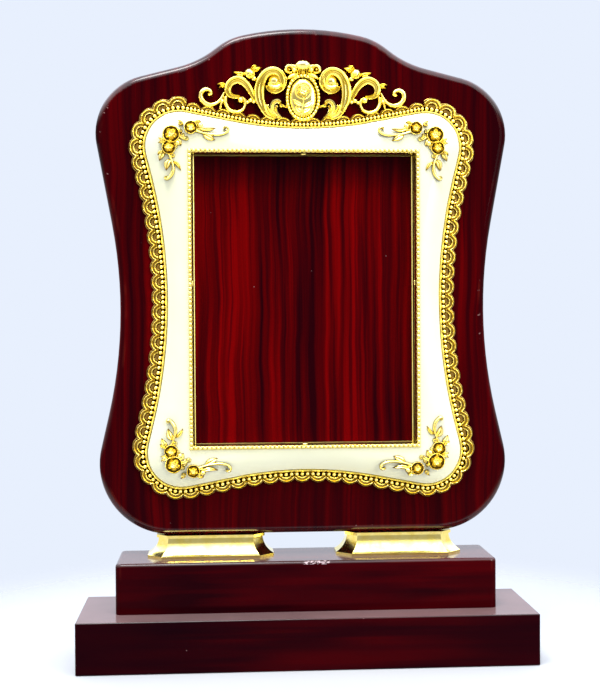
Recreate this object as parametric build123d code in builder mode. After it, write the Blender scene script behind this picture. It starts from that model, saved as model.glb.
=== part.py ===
"""Standing award plaque: lacquered shield board with a moulded frame, on a stepped plinth.

X runs to the right, Z up, and the front faces -Y. The origin is the middle of the underside.
"""

import os
from math import cos, radians, sin

from build123d import *

os.makedirs("parts", exist_ok=True)

# ---------------------------------------------------------------- driving dimensions, mm

# Stepped plinth: the upper step is set back, so a strip of the lower one shows in front.
LOWER_W, LOWER_D, LOWER_H = 219.0, 58.0, 24.3
UPPER_W, UPPER_D, UPPER_H = 184.0, 38.0, 24.3
UPPER_Y = 5.0
LOWER_EDGE_R = 0.6
UPPER_CORNER_R, UPPER_EDGE_R = 3.0, 1.6

# Felt sheet, let into the underside of the lower step.
FELT_T = 1.0
FELT_MARGIN = 5.0

# Flared risers between the plinth and the board.
RISER_X = 46.5
RISER_Y = 10.0
RISER_H = 10.8
RISER_FOOT_W, RISER_FOOT_D, RISER_FOOT_H = 62.0, 25.0, 1.0
RISER_NECK_W, RISER_NECK_D = 51.0, 17.0
RISER_LIP_W, RISER_LIP_D, RISER_LIP_H = 53.0, 19.0, 1.4
RISER_CORNER = 7.0
RISER_POCKET_W, RISER_POCKET_D, RISER_POCKET_H = 45.0, 12.0, 8.0
RISER_BOSS_R = 4.0

# Shield board.
BOARD_Z = LOWER_H + UPPER_H + RISER_H
BOARD_T = 15.0
BOARD_Y = RISER_Y
BOARD_FRONT = BOARD_Y - BOARD_T / 2
BOARD_BACK = BOARD_Y + BOARD_T / 2
BOARD_FRONT_R = 3.6
BOARD_BACK_R = 0.8
BOARD_TOP = (0.0, 251.5, 133.0)
BOARD_CORNERS = [
    (36.5, 243.5, 33.0),
    (51.0, 231.9, 49.0),
    (105.7, 218.0, 29.0),
    (85.1, 105.8, 227.0),
    (109.8, 0.0, 35.0),
]

# Waisted frame: a corner, a side waist and a top waist, from the frame's centre.
FRAME_Z = 174.6
FRAME_CORNER = (82.4, 95.5, 16.5)
FRAME_SIDE = (58.9, 0.0, 250.0)
FRAME_END = (0.0, 79.9, 180.0)
FRAME_EDGE_T = 3.6
FRAME_T = 8.0
FRAME_SKIN = 2.0
FLANGE_T, FLANGE_W = 1.2, 3.0

# Window through the frame, and the beaded liner that stands in it.
WINDOW_W, WINDOW_H = 109.0, 141.8
LINER_T = 1.0
LINER_FLANGE_W, LINER_FLANGE_T = 1.9, 1.3
LINER_LIP_W, LINER_LIP_T = 0.8, 1.0
NUB_R, NUB_L, NUB_RISE = 0.7, 3.0, 8.0

# Scalloped border round the frame.
RAIL_W, RAIL_T = 1.5, 4.0
BORDER_T = 2.6
SCALLOP_COUNT = 84
SCALLOP_OFFSET, SCALLOP_R = 4.2, 4.1
SCALLOP_TUCK, TUCK_TOP, TUCK_RUN = 1.4, -66.0, 20.0
CREST_HALF = 57.0
CREST_FIELD_Z, CREST_FIELD_H = 100.0, 70.0

# Crest over the top of the frame. Heights are from the frame's centre.
CREST_T = 3.0
CAMEO_Z = FRAME_Z + 98.4
BEZEL_W, BEZEL_H = 8.4, 11.2
CAMEO_W, CAMEO_H, CAMEO_T = 6.0, 9.2, 3.6
CAMEO_EDGE_R = 1.4
CAMEO_STEP, CAMEO_STEP_T = 1.0, 1.2
PIN_R, PIN_L = 1.1, 4.0
CREST_PIN_X, CREST_PIN_Z = 12.4, FRAME_Z + 105.4

# Floral corner sprays. Places are from the frame's centre, for the top right one.
SPRAY_T, ROSE_T = 1.4, 2.6
SPRAY_PIN_R, SPRAY_PIN_L = 0.8, 3.0
SPRAY_DISC_R = 3.4
TENDRIL_W = 1.6
ROSES = [(64.0, 79.6, 4.0), (65.2, 73.3, 3.1), (54.6, 82.9, 3.1)]
TENDRILS = [
    [(54.6, 82.9), (46.0, 80.0), (37.2, 82.0)],
    [(65.2, 73.3), (63.2, 65.0), (66.4, 58.2)],
]
SPRAY_LEAVES = [(46.0, 78.2, 2.8, 1.6), (61.4, 63.6, 1.8, 2.6), (65.5, 64.4, 1.8, 2.6)]
SPRAY_BUDS = [(59.6, 82.7, 2.2), (61.4, 75.4, 2.2)]

# Screws.
LONG_SCREW_R, LONG_SCREW_HEAD_R, LONG_SCREW_L = 2.0, 4.0, 52.0
STEP_SCREW_R, STEP_SCREW_HEAD_R, STEP_SCREW_L = 1.9, 3.8, 34.0
BACK_SCREW_R, BACK_SCREW_HEAD_R, BACK_SCREW_HEAD_T = 1.5, 2.9, 2.2
BACK_SCREW_HEAD_ROUND = 0.8
BACK_SCREW_L = 16.0
BACK_BORE_R, BACK_BORE_T = 3.5, 3.0
BOSS_R = 3.2
RECESS_W, RECESS_T = 0.9, 1.1

LONG_SCREW_PLACES = [
    (side * RISER_X + offset, RISER_Y) for side in (-1, 1) for offset in (-15.0, 15.0)
]
STEP_SCREW_PLACES = [(x, UPPER_Y) for x in (-76.0, -16.0, 16.0, 76.0)]
BACK_SCREW_PLACES = [(x, FRAME_Z + z) for x in (-62.0, 62.0) for z in (-80.0, 80.0)]


# ---------------------------------------------------------------- helpers


def facing_front(y):
    """The upright plane at depth y, with X to the right, Z up and its normal to the front."""
    return Plane.XZ.offset(-y)


def mirrored_ring(corners):
    """Closes a right-hand list of (x, z, radius) corners with its mirror image."""
    left = [(-x, z, r) for x, z, r in reversed(corners) if x > 0]
    return corners + left


def ring_line(corners):
    """A closed line through the corners, each rounded to its own radius."""
    points = [(x, z) for x, z, _ in corners]
    return FilletPolyline(*points, radius=[r for _, _, r in corners], close=True)


def frame_corners():
    """The eight corners of the waisted frame, about the frame's centre on the plane."""
    corner_x, corner_z, corner_r = FRAME_CORNER
    side_x, _, side_r = FRAME_SIDE
    _, end_z, end_r = FRAME_END
    return [
        (0.0, FRAME_Z + end_z, end_r),
        (corner_x, FRAME_Z + corner_z, corner_r),
        (side_x, FRAME_Z, side_r),
        (corner_x, FRAME_Z - corner_z, corner_r),
        (0.0, FRAME_Z - end_z, end_r),
        (-corner_x, FRAME_Z - corner_z, corner_r),
        (-side_x, FRAME_Z, side_r),
        (-corner_x, FRAME_Z + corner_z, corner_r),
    ]


def frame_outline(y, grow=0.0):
    """A sketch of the frame's outline at depth y, grown outwards by an offset."""
    with BuildSketch(facing_front(y)) as outline:
        with BuildLine():
            ring_line(frame_corners())
        make_face()
        if grow:
            offset(amount=grow, kind=Kind.ARC)
    return outline.sketch


def scallop_places():
    """Evenly spaced (x, z) points that the scallops are centred on, closer to the frame along the bottom."""
    with BuildSketch() as path:
        with BuildLine():
            ring_line(frame_corners())
        make_face()
        offset(amount=SCALLOP_OFFSET, kind=Kind.ARC)
    wire = path.sketch.faces()[0].outer_wire()
    places = []
    for i in range(SCALLOP_COUNT):
        point = wire @ (i / SCALLOP_COUNT)
        tuck = min(max((FRAME_Z + TUCK_TOP - point.Y) / TUCK_RUN, 0.0), 1.0)
        places.append((point.X, point.Y + SCALLOP_TUCK * tuck))
    return places


def border_plate(y):
    """The scalloped outline of the border, less the frame that stands inside it."""
    with BuildSketch(facing_front(y)) as plate:
        add(frame_outline(0, SCALLOP_OFFSET))
        with Locations(*scallop_places()):
            Circle(SCALLOP_R)
        add(frame_outline(0), mode=Mode.SUBTRACT)
    return plate.sketch


def border_band(y, outer, inner):
    """A band along the frame's outline, between two offsets from it."""
    with BuildSketch(facing_front(y)) as band:
        add(frame_outline(0, outer))
        add(frame_outline(0, inner), mode=Mode.SUBTRACT)
    return band.sketch


def crest_field(y):
    """The stretch over the top of the frame where the crest takes the border's place."""
    with BuildSketch(facing_front(y)) as field:
        with Locations((0, FRAME_Z + CREST_FIELD_Z)):
            Rectangle(2 * CREST_HALF, CREST_FIELD_H)
    return field.sketch


def add_screws(places, z, radius, head_radius, length):
    """Adds upright countersunk screws, heads down, with their undersides at height z."""
    head_t = head_radius - radius
    tip_t = 2 * radius
    low = (Align.CENTER, Align.CENTER, Align.MIN)
    with Locations(*[(x, y, z) for x, y in places]):
        Cone(head_radius, radius, head_t, align=low)
    with Locations(*[(x, y, z + head_t) for x, y in places]):
        Cylinder(radius, length - head_t - tip_t, align=low)
    with Locations(*[(x, y, z + length - tip_t) for x, y in places]):
        Cone(radius, radius / 4, tip_t, align=low)
    with Locations(*[(x, y, z) for x, y in places]):
        Box(RECESS_W, head_radius, RECESS_T, align=low, mode=Mode.SUBTRACT)
        Box(head_radius, RECESS_W, RECESS_T, align=low, mode=Mode.SUBTRACT)


def bore_screws(places, z, radius, head_radius, depth):
    """Cuts upward holes with a countersink that opens at height z."""
    low = (Align.CENTER, Align.CENTER, Align.MIN)
    with Locations(*[(x, y, z) for x, y in places]):
        Cylinder(radius, depth, align=low, mode=Mode.SUBTRACT)
        Cone(head_radius, radius, head_radius - radius, align=low, mode=Mode.SUBTRACT)


# ---------------------------------------------------------------- plinth

with BuildPart() as lower_plinth:
    low = (Align.CENTER, Align.CENTER, Align.MIN)
    Box(LOWER_W, LOWER_D, LOWER_H, align=low)
    fillet(lower_plinth.edges().filter_by(Axis.Z), LOWER_EDGE_R)
    fillet(lower_plinth.faces().sort_by(Axis.Z)[-1].edges(), LOWER_EDGE_R)
    with BuildSketch():
        Rectangle(LOWER_W - 2 * FELT_MARGIN, LOWER_D - 2 * FELT_MARGIN)
    extrude(amount=FELT_T, mode=Mode.SUBTRACT)
    bore_screws(STEP_SCREW_PLACES, FELT_T, STEP_SCREW_R, STEP_SCREW_HEAD_R, LOWER_H)
lower_plinth.part.label = "lower_plinth"
export_step(lower_plinth.part, "parts/lower_plinth.step")

with BuildPart() as base_felt:
    with BuildSketch():
        Rectangle(LOWER_W - 2 * FELT_MARGIN, LOWER_D - 2 * FELT_MARGIN)
    extrude(amount=FELT_T)
base_felt.part.label = "base_felt"
export_step(base_felt.part, "parts/base_felt.step")

with BuildPart() as upper_plinth:
    with BuildSketch(Plane.XY.offset(LOWER_H)):
        with Locations((0, UPPER_Y)):
            Rectangle(UPPER_W, UPPER_D)
    extrude(amount=UPPER_H)
    fillet(upper_plinth.edges().filter_by(Axis.Z), UPPER_CORNER_R)
    fillet(upper_plinth.faces().sort_by(Axis.Z)[-1].edges(), UPPER_EDGE_R)
    bore_screws(LONG_SCREW_PLACES, LOWER_H, LONG_SCREW_R, LONG_SCREW_HEAD_R, UPPER_H)
    step_depth = STEP_SCREW_L + FELT_T - LOWER_H
    with Locations(*[(x, y, LOWER_H + step_depth / 2) for x, y in STEP_SCREW_PLACES]):
        Cylinder(STEP_SCREW_R, step_depth, mode=Mode.SUBTRACT)
upper_plinth.part.label = "upper_plinth"
export_step(upper_plinth.part, "parts/upper_plinth.step")

with BuildPart() as step_screws:
    add_screws(STEP_SCREW_PLACES, FELT_T, STEP_SCREW_R, STEP_SCREW_HEAD_R, STEP_SCREW_L)
step_screws.part.label = "step_screws"
export_step(step_screws.part, "parts/step_screws.step")

with BuildPart() as riser_screws:
    add_screws(LONG_SCREW_PLACES, LOWER_H, LONG_SCREW_R, LONG_SCREW_HEAD_R, LONG_SCREW_L)
riser_screws.part.label = "riser_screws"
export_step(riser_screws.part, "parts/riser_screws.step")


# ---------------------------------------------------------------- risers


def riser_section(height, width, depth, centre_x):
    """A rectangle with cut corners, at a height above the upper step."""
    with BuildSketch(Plane.XY.offset(LOWER_H + UPPER_H + height)) as section:
        with Locations((centre_x, RISER_Y)):
            Rectangle(width, depth)
        chamfer(section.vertices(), RISER_CORNER * depth / RISER_FOOT_D)
    return section.sketch


def make_riser(centre_x):
    """A hollow flared riser: foot rim, hollow curve up to a neck, and a lip for the board."""
    flare_top = RISER_H - RISER_LIP_H
    screws = [(x, y) for x, y in LONG_SCREW_PLACES if abs(x - centre_x) < RISER_FOOT_W / 2]
    low = (Align.CENTER, Align.CENTER, Align.MIN)
    with BuildPart() as riser:
        add(riser_section(0, RISER_FOOT_W, RISER_FOOT_D, centre_x))
        extrude(amount=RISER_FOOT_H)
        add(riser_section(RISER_FOOT_H, RISER_FOOT_W, RISER_FOOT_D, centre_x))
        add(riser_section(flare_top * 0.5, RISER_NECK_W + 3.0, RISER_NECK_D + 2.2, centre_x))
        add(riser_section(flare_top, RISER_NECK_W, RISER_NECK_D, centre_x))
        loft()
        add(riser_section(flare_top, RISER_LIP_W, RISER_LIP_D, centre_x))
        extrude(amount=RISER_LIP_H)
        add(riser_section(0, RISER_POCKET_W, RISER_POCKET_D, centre_x))
        extrude(amount=RISER_POCKET_H, mode=Mode.SUBTRACT)
        with Locations(*[(x, y, LOWER_H + UPPER_H) for x, y in screws]):
            Cylinder(RISER_BOSS_R, RISER_POCKET_H, align=low)
            Cylinder(LONG_SCREW_R, RISER_H, align=low, mode=Mode.SUBTRACT)
    return riser.part


riser_left = make_riser(-RISER_X)
riser_left.label = "riser_left"
export_step(riser_left, "parts/riser_left.step")

riser_right = make_riser(RISER_X)
riser_right.label = "riser_right"
export_step(riser_right, "parts/riser_right.step")


# ---------------------------------------------------------------- shield board

with BuildPart() as backboard:
    shield = mirrored_ring([BOARD_TOP] + BOARD_CORNERS)
    with BuildSketch(facing_front(BOARD_BACK)):
        with BuildLine():
            ring_line([(x, BOARD_Z + z, r) for x, z, r in shield])
        make_face()
    extrude(amount=BOARD_T)
    fillet(backboard.faces().sort_by(Axis.Y)[0].edges(), BOARD_FRONT_R)
    fillet(backboard.faces().sort_by(Axis.Y)[-1].edges(), BOARD_BACK_R)
    long_depth = LOWER_H + LONG_SCREW_L - BOARD_Z
    with Locations(*[(x, y, BOARD_Z + long_depth / 2) for x, y in LONG_SCREW_PLACES]):
        Cylinder(LONG_SCREW_R, long_depth, mode=Mode.SUBTRACT)
    with BuildSketch(facing_front(BOARD_BACK)):
        with Locations(*BACK_SCREW_PLACES):
            Circle(BACK_SCREW_R)
    extrude(amount=BOARD_T, mode=Mode.SUBTRACT)
    with BuildSketch(facing_front(BOARD_BACK)):
        with Locations(*BACK_SCREW_PLACES):
            Circle(BACK_BORE_R)
    extrude(amount=BACK_BORE_T, mode=Mode.SUBTRACT)
    with BuildSketch(facing_front(BOARD_FRONT)):
        with Locations((-CREST_PIN_X, CREST_PIN_Z), (CREST_PIN_X, CREST_PIN_Z)):
            Circle(PIN_R)
    extrude(amount=-PIN_L, mode=Mode.SUBTRACT)
backboard.part.label = "backboard"
export_step(backboard.part, "parts/backboard.step")


# ---------------------------------------------------------------- frame

with BuildPart() as frame_body:
    extrude(frame_outline(BOARD_FRONT), amount=FRAME_T)
    fillet(frame_body.faces().sort_by(Axis.Y)[0].edges(), FRAME_T - FRAME_EDGE_T)
    # rebate that closes over the border's flange
    with BuildSketch(facing_front(BOARD_FRONT)):
        add(frame_outline(0))
        add(frame_outline(0, -FLANGE_W), mode=Mode.SUBTRACT)
    extrude(amount=FLANGE_T, mode=Mode.SUBTRACT)
    # hollow back
    pocket_wall = LINER_T + FRAME_SKIN
    with BuildSketch(facing_front(BOARD_FRONT)):
        add(frame_outline(0, -FLANGE_W - FRAME_SKIN))
        with Locations((0, FRAME_Z)):
            Rectangle(WINDOW_W + 2 * pocket_wall, WINDOW_H + 2 * pocket_wall, mode=Mode.SUBTRACT)
        with Locations(*BACK_SCREW_PLACES):
            Circle(BOSS_R, mode=Mode.SUBTRACT)
    extrude(amount=FRAME_T - FRAME_SKIN, mode=Mode.SUBTRACT)
    with BuildSketch(facing_front(BOARD_FRONT)):
        with Locations(*BACK_SCREW_PLACES):
            Circle(BACK_SCREW_R)
    extrude(amount=BACK_SCREW_L + BACK_BORE_T - BOARD_T, mode=Mode.SUBTRACT)
    # window
    with BuildSketch(facing_front(BOARD_FRONT)):
        with Locations((0, FRAME_Z)):
            Rectangle(WINDOW_W + 2 * LINER_T, WINDOW_H + 2 * LINER_T)
    extrude(amount=FRAME_T, mode=Mode.SUBTRACT)
    # holes for the pins of the corner sprays
    with BuildSketch(facing_front(BOARD_FRONT)):
        for side in (-1, 1):
            for end in (-1, 1):
                with Locations(*[(side * x, FRAME_Z + end * z) for x, z, _ in ROSES[1:]]):
                    Circle(SPRAY_PIN_R)
    extrude(amount=FRAME_T, mode=Mode.SUBTRACT)
frame_body.part.label = "frame_body"
export_step(frame_body.part, "parts/frame_body.step")

with BuildPart() as back_screws:
    with BuildSketch(facing_front(BOARD_BACK - BACK_BORE_T)):
        with Locations(*BACK_SCREW_PLACES):
            Circle(BACK_SCREW_HEAD_R)
    extrude(amount=-BACK_SCREW_HEAD_T)
    fillet(back_screws.faces().sort_by(Axis.Y)[-4:].edges(), BACK_SCREW_HEAD_ROUND)
    with BuildSketch(facing_front(BOARD_BACK - BACK_BORE_T)):
        with Locations(*BACK_SCREW_PLACES):
            Circle(BACK_SCREW_R)
    extrude(amount=BACK_SCREW_L)
    with BuildSketch(facing_front(BOARD_BACK - BACK_BORE_T + BACK_SCREW_HEAD_T)):
        with Locations(*BACK_SCREW_PLACES):
            Rectangle(RECESS_W, BACK_SCREW_HEAD_R)
            Rectangle(BACK_SCREW_HEAD_R, RECESS_W)
    extrude(amount=RECESS_T, mode=Mode.SUBTRACT)
back_screws.part.label = "back_screws"
export_step(back_screws.part, "parts/back_screws.step")

with BuildPart() as window_liner:
    # beaded flange over the edge of the frame's window
    with BuildSketch(facing_front(BOARD_FRONT - FRAME_T)):
        with Locations((0, FRAME_Z)):
            Rectangle(WINDOW_W + 2 * LINER_FLANGE_W, WINDOW_H + 2 * LINER_FLANGE_W)
            Rectangle(WINDOW_W, WINDOW_H, mode=Mode.SUBTRACT)
    extrude(amount=LINER_FLANGE_T)
    # wall down to the board
    with BuildSketch(facing_front(BOARD_FRONT)):
        with Locations((0, FRAME_Z)):
            Rectangle(WINDOW_W + 2 * LINER_T, WINDOW_H + 2 * LINER_T)
            Rectangle(WINDOW_W, WINDOW_H, mode=Mode.SUBTRACT)
    extrude(amount=FRAME_T)
    # lip that lies on the board
    with BuildSketch(facing_front(BOARD_FRONT)):
        with Locations((0, FRAME_Z)):
            Rectangle(WINDOW_W + LINER_T, WINDOW_H + LINER_T)
            Rectangle(WINDOW_W - 2 * LINER_LIP_W, WINDOW_H - 2 * LINER_LIP_W, mode=Mode.SUBTRACT)
    extrude(amount=LINER_LIP_T)
    # nubs on the walls that hold an inserted plate down
    nub_y = BOARD_FRONT - FRAME_T * 0.45
    with Locations((0, nub_y, FRAME_Z - WINDOW_H / 2), (0, nub_y, FRAME_Z + WINDOW_H / 2)):
        Cylinder(NUB_R, NUB_L, rotation=(0, 90, 0))
    with Locations((-WINDOW_W / 2, nub_y, FRAME_Z + NUB_RISE), (WINDOW_W / 2, nub_y, FRAME_Z + NUB_RISE)):
        Cylinder(NUB_R, NUB_L)
window_liner.part.label = "window_liner"
export_step(window_liner.part, "parts/window_liner.step")


# ---------------------------------------------------------------- scalloped border

with BuildPart() as border:
    extrude(border_plate(BOARD_FRONT), amount=BORDER_T)
    extrude(border_band(BOARD_FRONT, RAIL_W, 0), amount=RAIL_T)
    extrude(border_band(BOARD_FRONT, RAIL_W, -FLANGE_W), amount=FLANGE_T)

with BuildPart() as lace_border:
    add(border)
    extrude(crest_field(BOARD_FRONT), amount=RAIL_T, mode=Mode.SUBTRACT)
lace_border.part.label = "lace_border"
export_step(lace_border.part, "parts/lace_border.step")


# ---------------------------------------------------------------- crest


def arc_ribbon(centre_x, centre_z, radius, start, sweep, width):
    """A round-ended ribbon along an arc, with its mirror image on the left."""
    z = FRAME_Z + centre_z
    with BuildLine(mode=Mode.PRIVATE) as right:
        CenterArc((centre_x, z), radius, start, sweep)
    SlotArc(right.edge(), width)
    with BuildLine(mode=Mode.PRIVATE) as left:
        CenterArc((-centre_x, z), radius, 180 - start, -sweep)
    SlotArc(left.edge(), width)


def line_ribbon(points, width, signs=((1, 1), (-1, 1))):
    """A round-ended ribbon on an arc through three points, repeated for each pair of signs."""
    for side, end in signs:
        with BuildLine(mode=Mode.PRIVATE) as path:
            ThreePointArc(*[(side * x, FRAME_Z + end * z) for x, z in points])
        SlotArc(path.edge(), width)


def discs(places):
    """Round bulbs, knobs and buds given as (x, z, radius), and their mirror images."""
    for x, z, r in places:
        with Locations((x, FRAME_Z + z), (-x, FRAME_Z + z)):
            Circle(r)


def leaf(x, z, angle, length, width):
    """A pointed leaf that starts at a place and runs out at an angle, and its mirror image."""
    for side in (1, -1):
        run = (side * length * cos(radians(angle)), length * sin(radians(angle)))
        turn = (-run[1] / length * width / 2, run[0] / length * width / 2)
        root = (side * x, FRAME_Z + z)
        tip = (root[0] + run[0], root[1] + run[1])
        mid = (root[0] + run[0] / 2, root[1] + run[1] / 2)
        with BuildLine(mode=Mode.PRIVATE) as edge:
            ThreePointArc(root, (mid[0] + turn[0], mid[1] + turn[1]), tip)
            ThreePointArc(tip, (mid[0] - turn[0], mid[1] - turn[1]), root)
        make_face(edge.edges())


with BuildPart() as crest:
    add(border)
    extrude(crest_field(BOARD_FRONT), amount=RAIL_T, mode=Mode.INTERSECT)
    with BuildSketch(facing_front(BOARD_FRONT)):
        # big C scrolls, with a bulb in each and a tail down to the border
        arc_ribbon(15.0, 105.6, 6.6, -10, 190, 3.0)
        discs([(12.3, 105.2, 3.5), (8.6, 104.2, 1.4)])
        line_ribbon([(21.6, 105.6), (20.4, 97.5), (14.0, 89.5)], 2.8)
        # small acanthus curls, and the knobs that join them to the cameo's ring
        arc_ribbon(11.9, 94.2, 3.3, -130, -180, 2.0)
        discs([(9.4, 96.4, 1.4), (13.6, 90.2, 1.8)])
        # outer S scrolls: an arch, and a ring under it with a bulb at its end
        arc_ribbon(31.2, 102.4, 5.6, -40, 220, 2.6)
        arc_ribbon(32.3, 96.6, 4.5, 165, 210, 2.2)
        discs([(28.6, 98.6, 1.5), (23.0, 98.3, 1.5), (25.1, 98.2, 1.9), (36.6, 98.6, 1.6)])
        # end volutes
        arc_ribbon(46.2, 100.0, 3.6, 150, -240, 2.0)
        line_ribbon([(37.0, 97.5), (40.0, 95.2), (44.0, 96.9)], 2.0)
        discs([(43.9, 101.0, 1.7)])
        # buds and leaves along the top
        discs([(25.3, 111.4, 2.4), (22.6, 109.6, 1.8), (28.0, 109.0, 1.6)])
        leaf(26.5, 110.4, 8, 7.0, 2.6)
        leaf(23.5, 111.0, 150, 4.6, 2.2)
        leaf(36.0, 104.2, 15, 5.2, 2.6)
        # shell over the cameo, with a small volute each side
        with Locations((0, FRAME_Z + 113.2)):
            Ellipse(4.4, 3.9)
        with Locations((0, FRAME_Z + 110.2)):
            Rectangle(5.4, 3.4)
        discs([(6.6, 113.6, 2.2), (3.9, 111.2, 1.5), (5.4, 109.3, 1.4)])
        # ring that holds the cameo
        with Locations((0, CAMEO_Z)):
            Ellipse(BEZEL_W, BEZEL_H)
        add(frame_outline(0), mode=Mode.SUBTRACT)
    extrude(amount=CREST_T)
    with BuildSketch(facing_front(BOARD_FRONT)):
        with Locations((0, CAMEO_Z)):
            Ellipse(CAMEO_W, CAMEO_H)
    extrude(amount=RAIL_T, mode=Mode.SUBTRACT)
    with BuildSketch(facing_front(BOARD_FRONT)):
        with Locations((0, CAMEO_Z)):
            Ellipse(CAMEO_W + CAMEO_STEP, CAMEO_H + CAMEO_STEP)
    extrude(amount=CAMEO_STEP_T, mode=Mode.SUBTRACT)
    with BuildSketch(facing_front(BOARD_FRONT)):
        with Locations((-CREST_PIN_X, CREST_PIN_Z), (CREST_PIN_X, CREST_PIN_Z)):
            Circle(PIN_R)
    extrude(amount=-PIN_L)
crest.part.label = "crest"
export_step(crest.part, "parts/crest.step")

with BuildPart() as cameo:
    with BuildSketch(facing_front(BOARD_FRONT)):
        with Locations((0, CAMEO_Z)):
            Ellipse(CAMEO_W, CAMEO_H)
    extrude(amount=CAMEO_T)
    fillet(cameo.faces().sort_by(Axis.Y)[0].edges(), CAMEO_EDGE_R)
    with BuildSketch(facing_front(BOARD_FRONT)):
        with Locations((0, CAMEO_Z)):
            Ellipse(CAMEO_W + CAMEO_STEP, CAMEO_H + CAMEO_STEP)
    extrude(amount=CAMEO_STEP_T)
cameo.part.label = "cameo"
export_step(cameo.part, "parts/cameo.step")


# ---------------------------------------------------------------- corner sprays


def make_spray(side, end):
    """Three roses with tendrils and leaves, in the corner given by two signs."""
    face_y = BOARD_FRONT - FRAME_T
    with BuildPart() as spray:
        with BuildSketch(facing_front(face_y)):
            with Locations(*[(side * x, FRAME_Z + end * z) for x, z, _ in ROSES]):
                Circle(SPRAY_DISC_R)
            for tendril in TENDRILS:
                line_ribbon(tendril, TENDRIL_W, [(side, end)])
            for x, z, half_w, half_h in SPRAY_LEAVES:
                with Locations((side * x, FRAME_Z + end * z)):
                    Ellipse(half_w, half_h)
            for x, z, r in SPRAY_BUDS:
                with Locations((side * x, FRAME_Z + end * z)):
                    Circle(r)
        extrude(amount=SPRAY_T)
        with BuildSketch(facing_front(face_y)):
            for x, z, r in ROSES:
                with Locations((side * x, FRAME_Z + end * z)):
                    Circle(r)
        extrude(amount=ROSE_T)
        with BuildSketch(facing_front(face_y)):
            with Locations(*[(side * x, FRAME_Z + end * z) for x, z, _ in ROSES[1:]]):
                Circle(SPRAY_PIN_R)
        extrude(amount=-SPRAY_PIN_L)
    return spray.part


for end_name, end_sign in (("top", 1), ("bottom", -1)):
    for side_name, side_sign in (("left", -1), ("right", 1)):
        spray_name = f"spray_{end_name}_{side_name}"
        spray_part = make_spray(side_sign, end_sign)
        spray_part.label = spray_name
        export_step(spray_part, f"parts/{spray_name}.step")
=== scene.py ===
"""Looks of a standing award plaque, modelled round its packed construction.

Ornament is worked out in millimetres as (x, z, h): x to the right, z up from the plinth's underside,
and h out of the board's front face towards the viewer. Casting.make turns that into metres.
"""

from __future__ import annotations

import logging
import math
from dataclasses import dataclass
from enum import Enum
from typing import Sequence

import bmesh
import bpy
import numpy as np
from mathutils import Matrix, Vector


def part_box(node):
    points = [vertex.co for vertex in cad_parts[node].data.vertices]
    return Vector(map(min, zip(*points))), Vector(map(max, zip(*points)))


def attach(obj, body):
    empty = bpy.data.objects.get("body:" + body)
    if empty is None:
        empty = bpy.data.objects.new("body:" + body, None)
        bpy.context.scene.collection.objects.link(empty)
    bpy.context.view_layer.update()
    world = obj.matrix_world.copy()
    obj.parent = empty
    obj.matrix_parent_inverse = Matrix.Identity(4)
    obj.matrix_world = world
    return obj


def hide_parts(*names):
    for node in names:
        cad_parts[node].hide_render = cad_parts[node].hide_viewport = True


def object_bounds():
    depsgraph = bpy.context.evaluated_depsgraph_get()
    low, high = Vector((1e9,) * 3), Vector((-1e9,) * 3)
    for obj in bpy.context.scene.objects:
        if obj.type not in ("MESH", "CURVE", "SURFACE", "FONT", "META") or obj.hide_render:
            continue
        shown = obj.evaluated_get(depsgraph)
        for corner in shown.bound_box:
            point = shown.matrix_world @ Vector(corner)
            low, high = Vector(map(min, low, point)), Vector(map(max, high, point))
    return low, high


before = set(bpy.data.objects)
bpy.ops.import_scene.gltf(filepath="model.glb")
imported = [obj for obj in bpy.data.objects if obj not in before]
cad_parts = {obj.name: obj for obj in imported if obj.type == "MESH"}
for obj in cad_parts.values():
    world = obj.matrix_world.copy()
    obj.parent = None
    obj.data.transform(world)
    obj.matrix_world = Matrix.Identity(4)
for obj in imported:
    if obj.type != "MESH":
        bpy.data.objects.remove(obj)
cad_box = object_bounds()

MM = 0.001
LINER_FLANGE = 1.9
CAMEO_Z = 98.4
BEDDED = 0.15
SHARP = math.radians(52)
LOG = logging.getLogger("plaque")
Point = tuple[float, float]
Sizes = float | Sequence[float]


# ---------------------------------------------------------------- shader arithmetic


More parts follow.
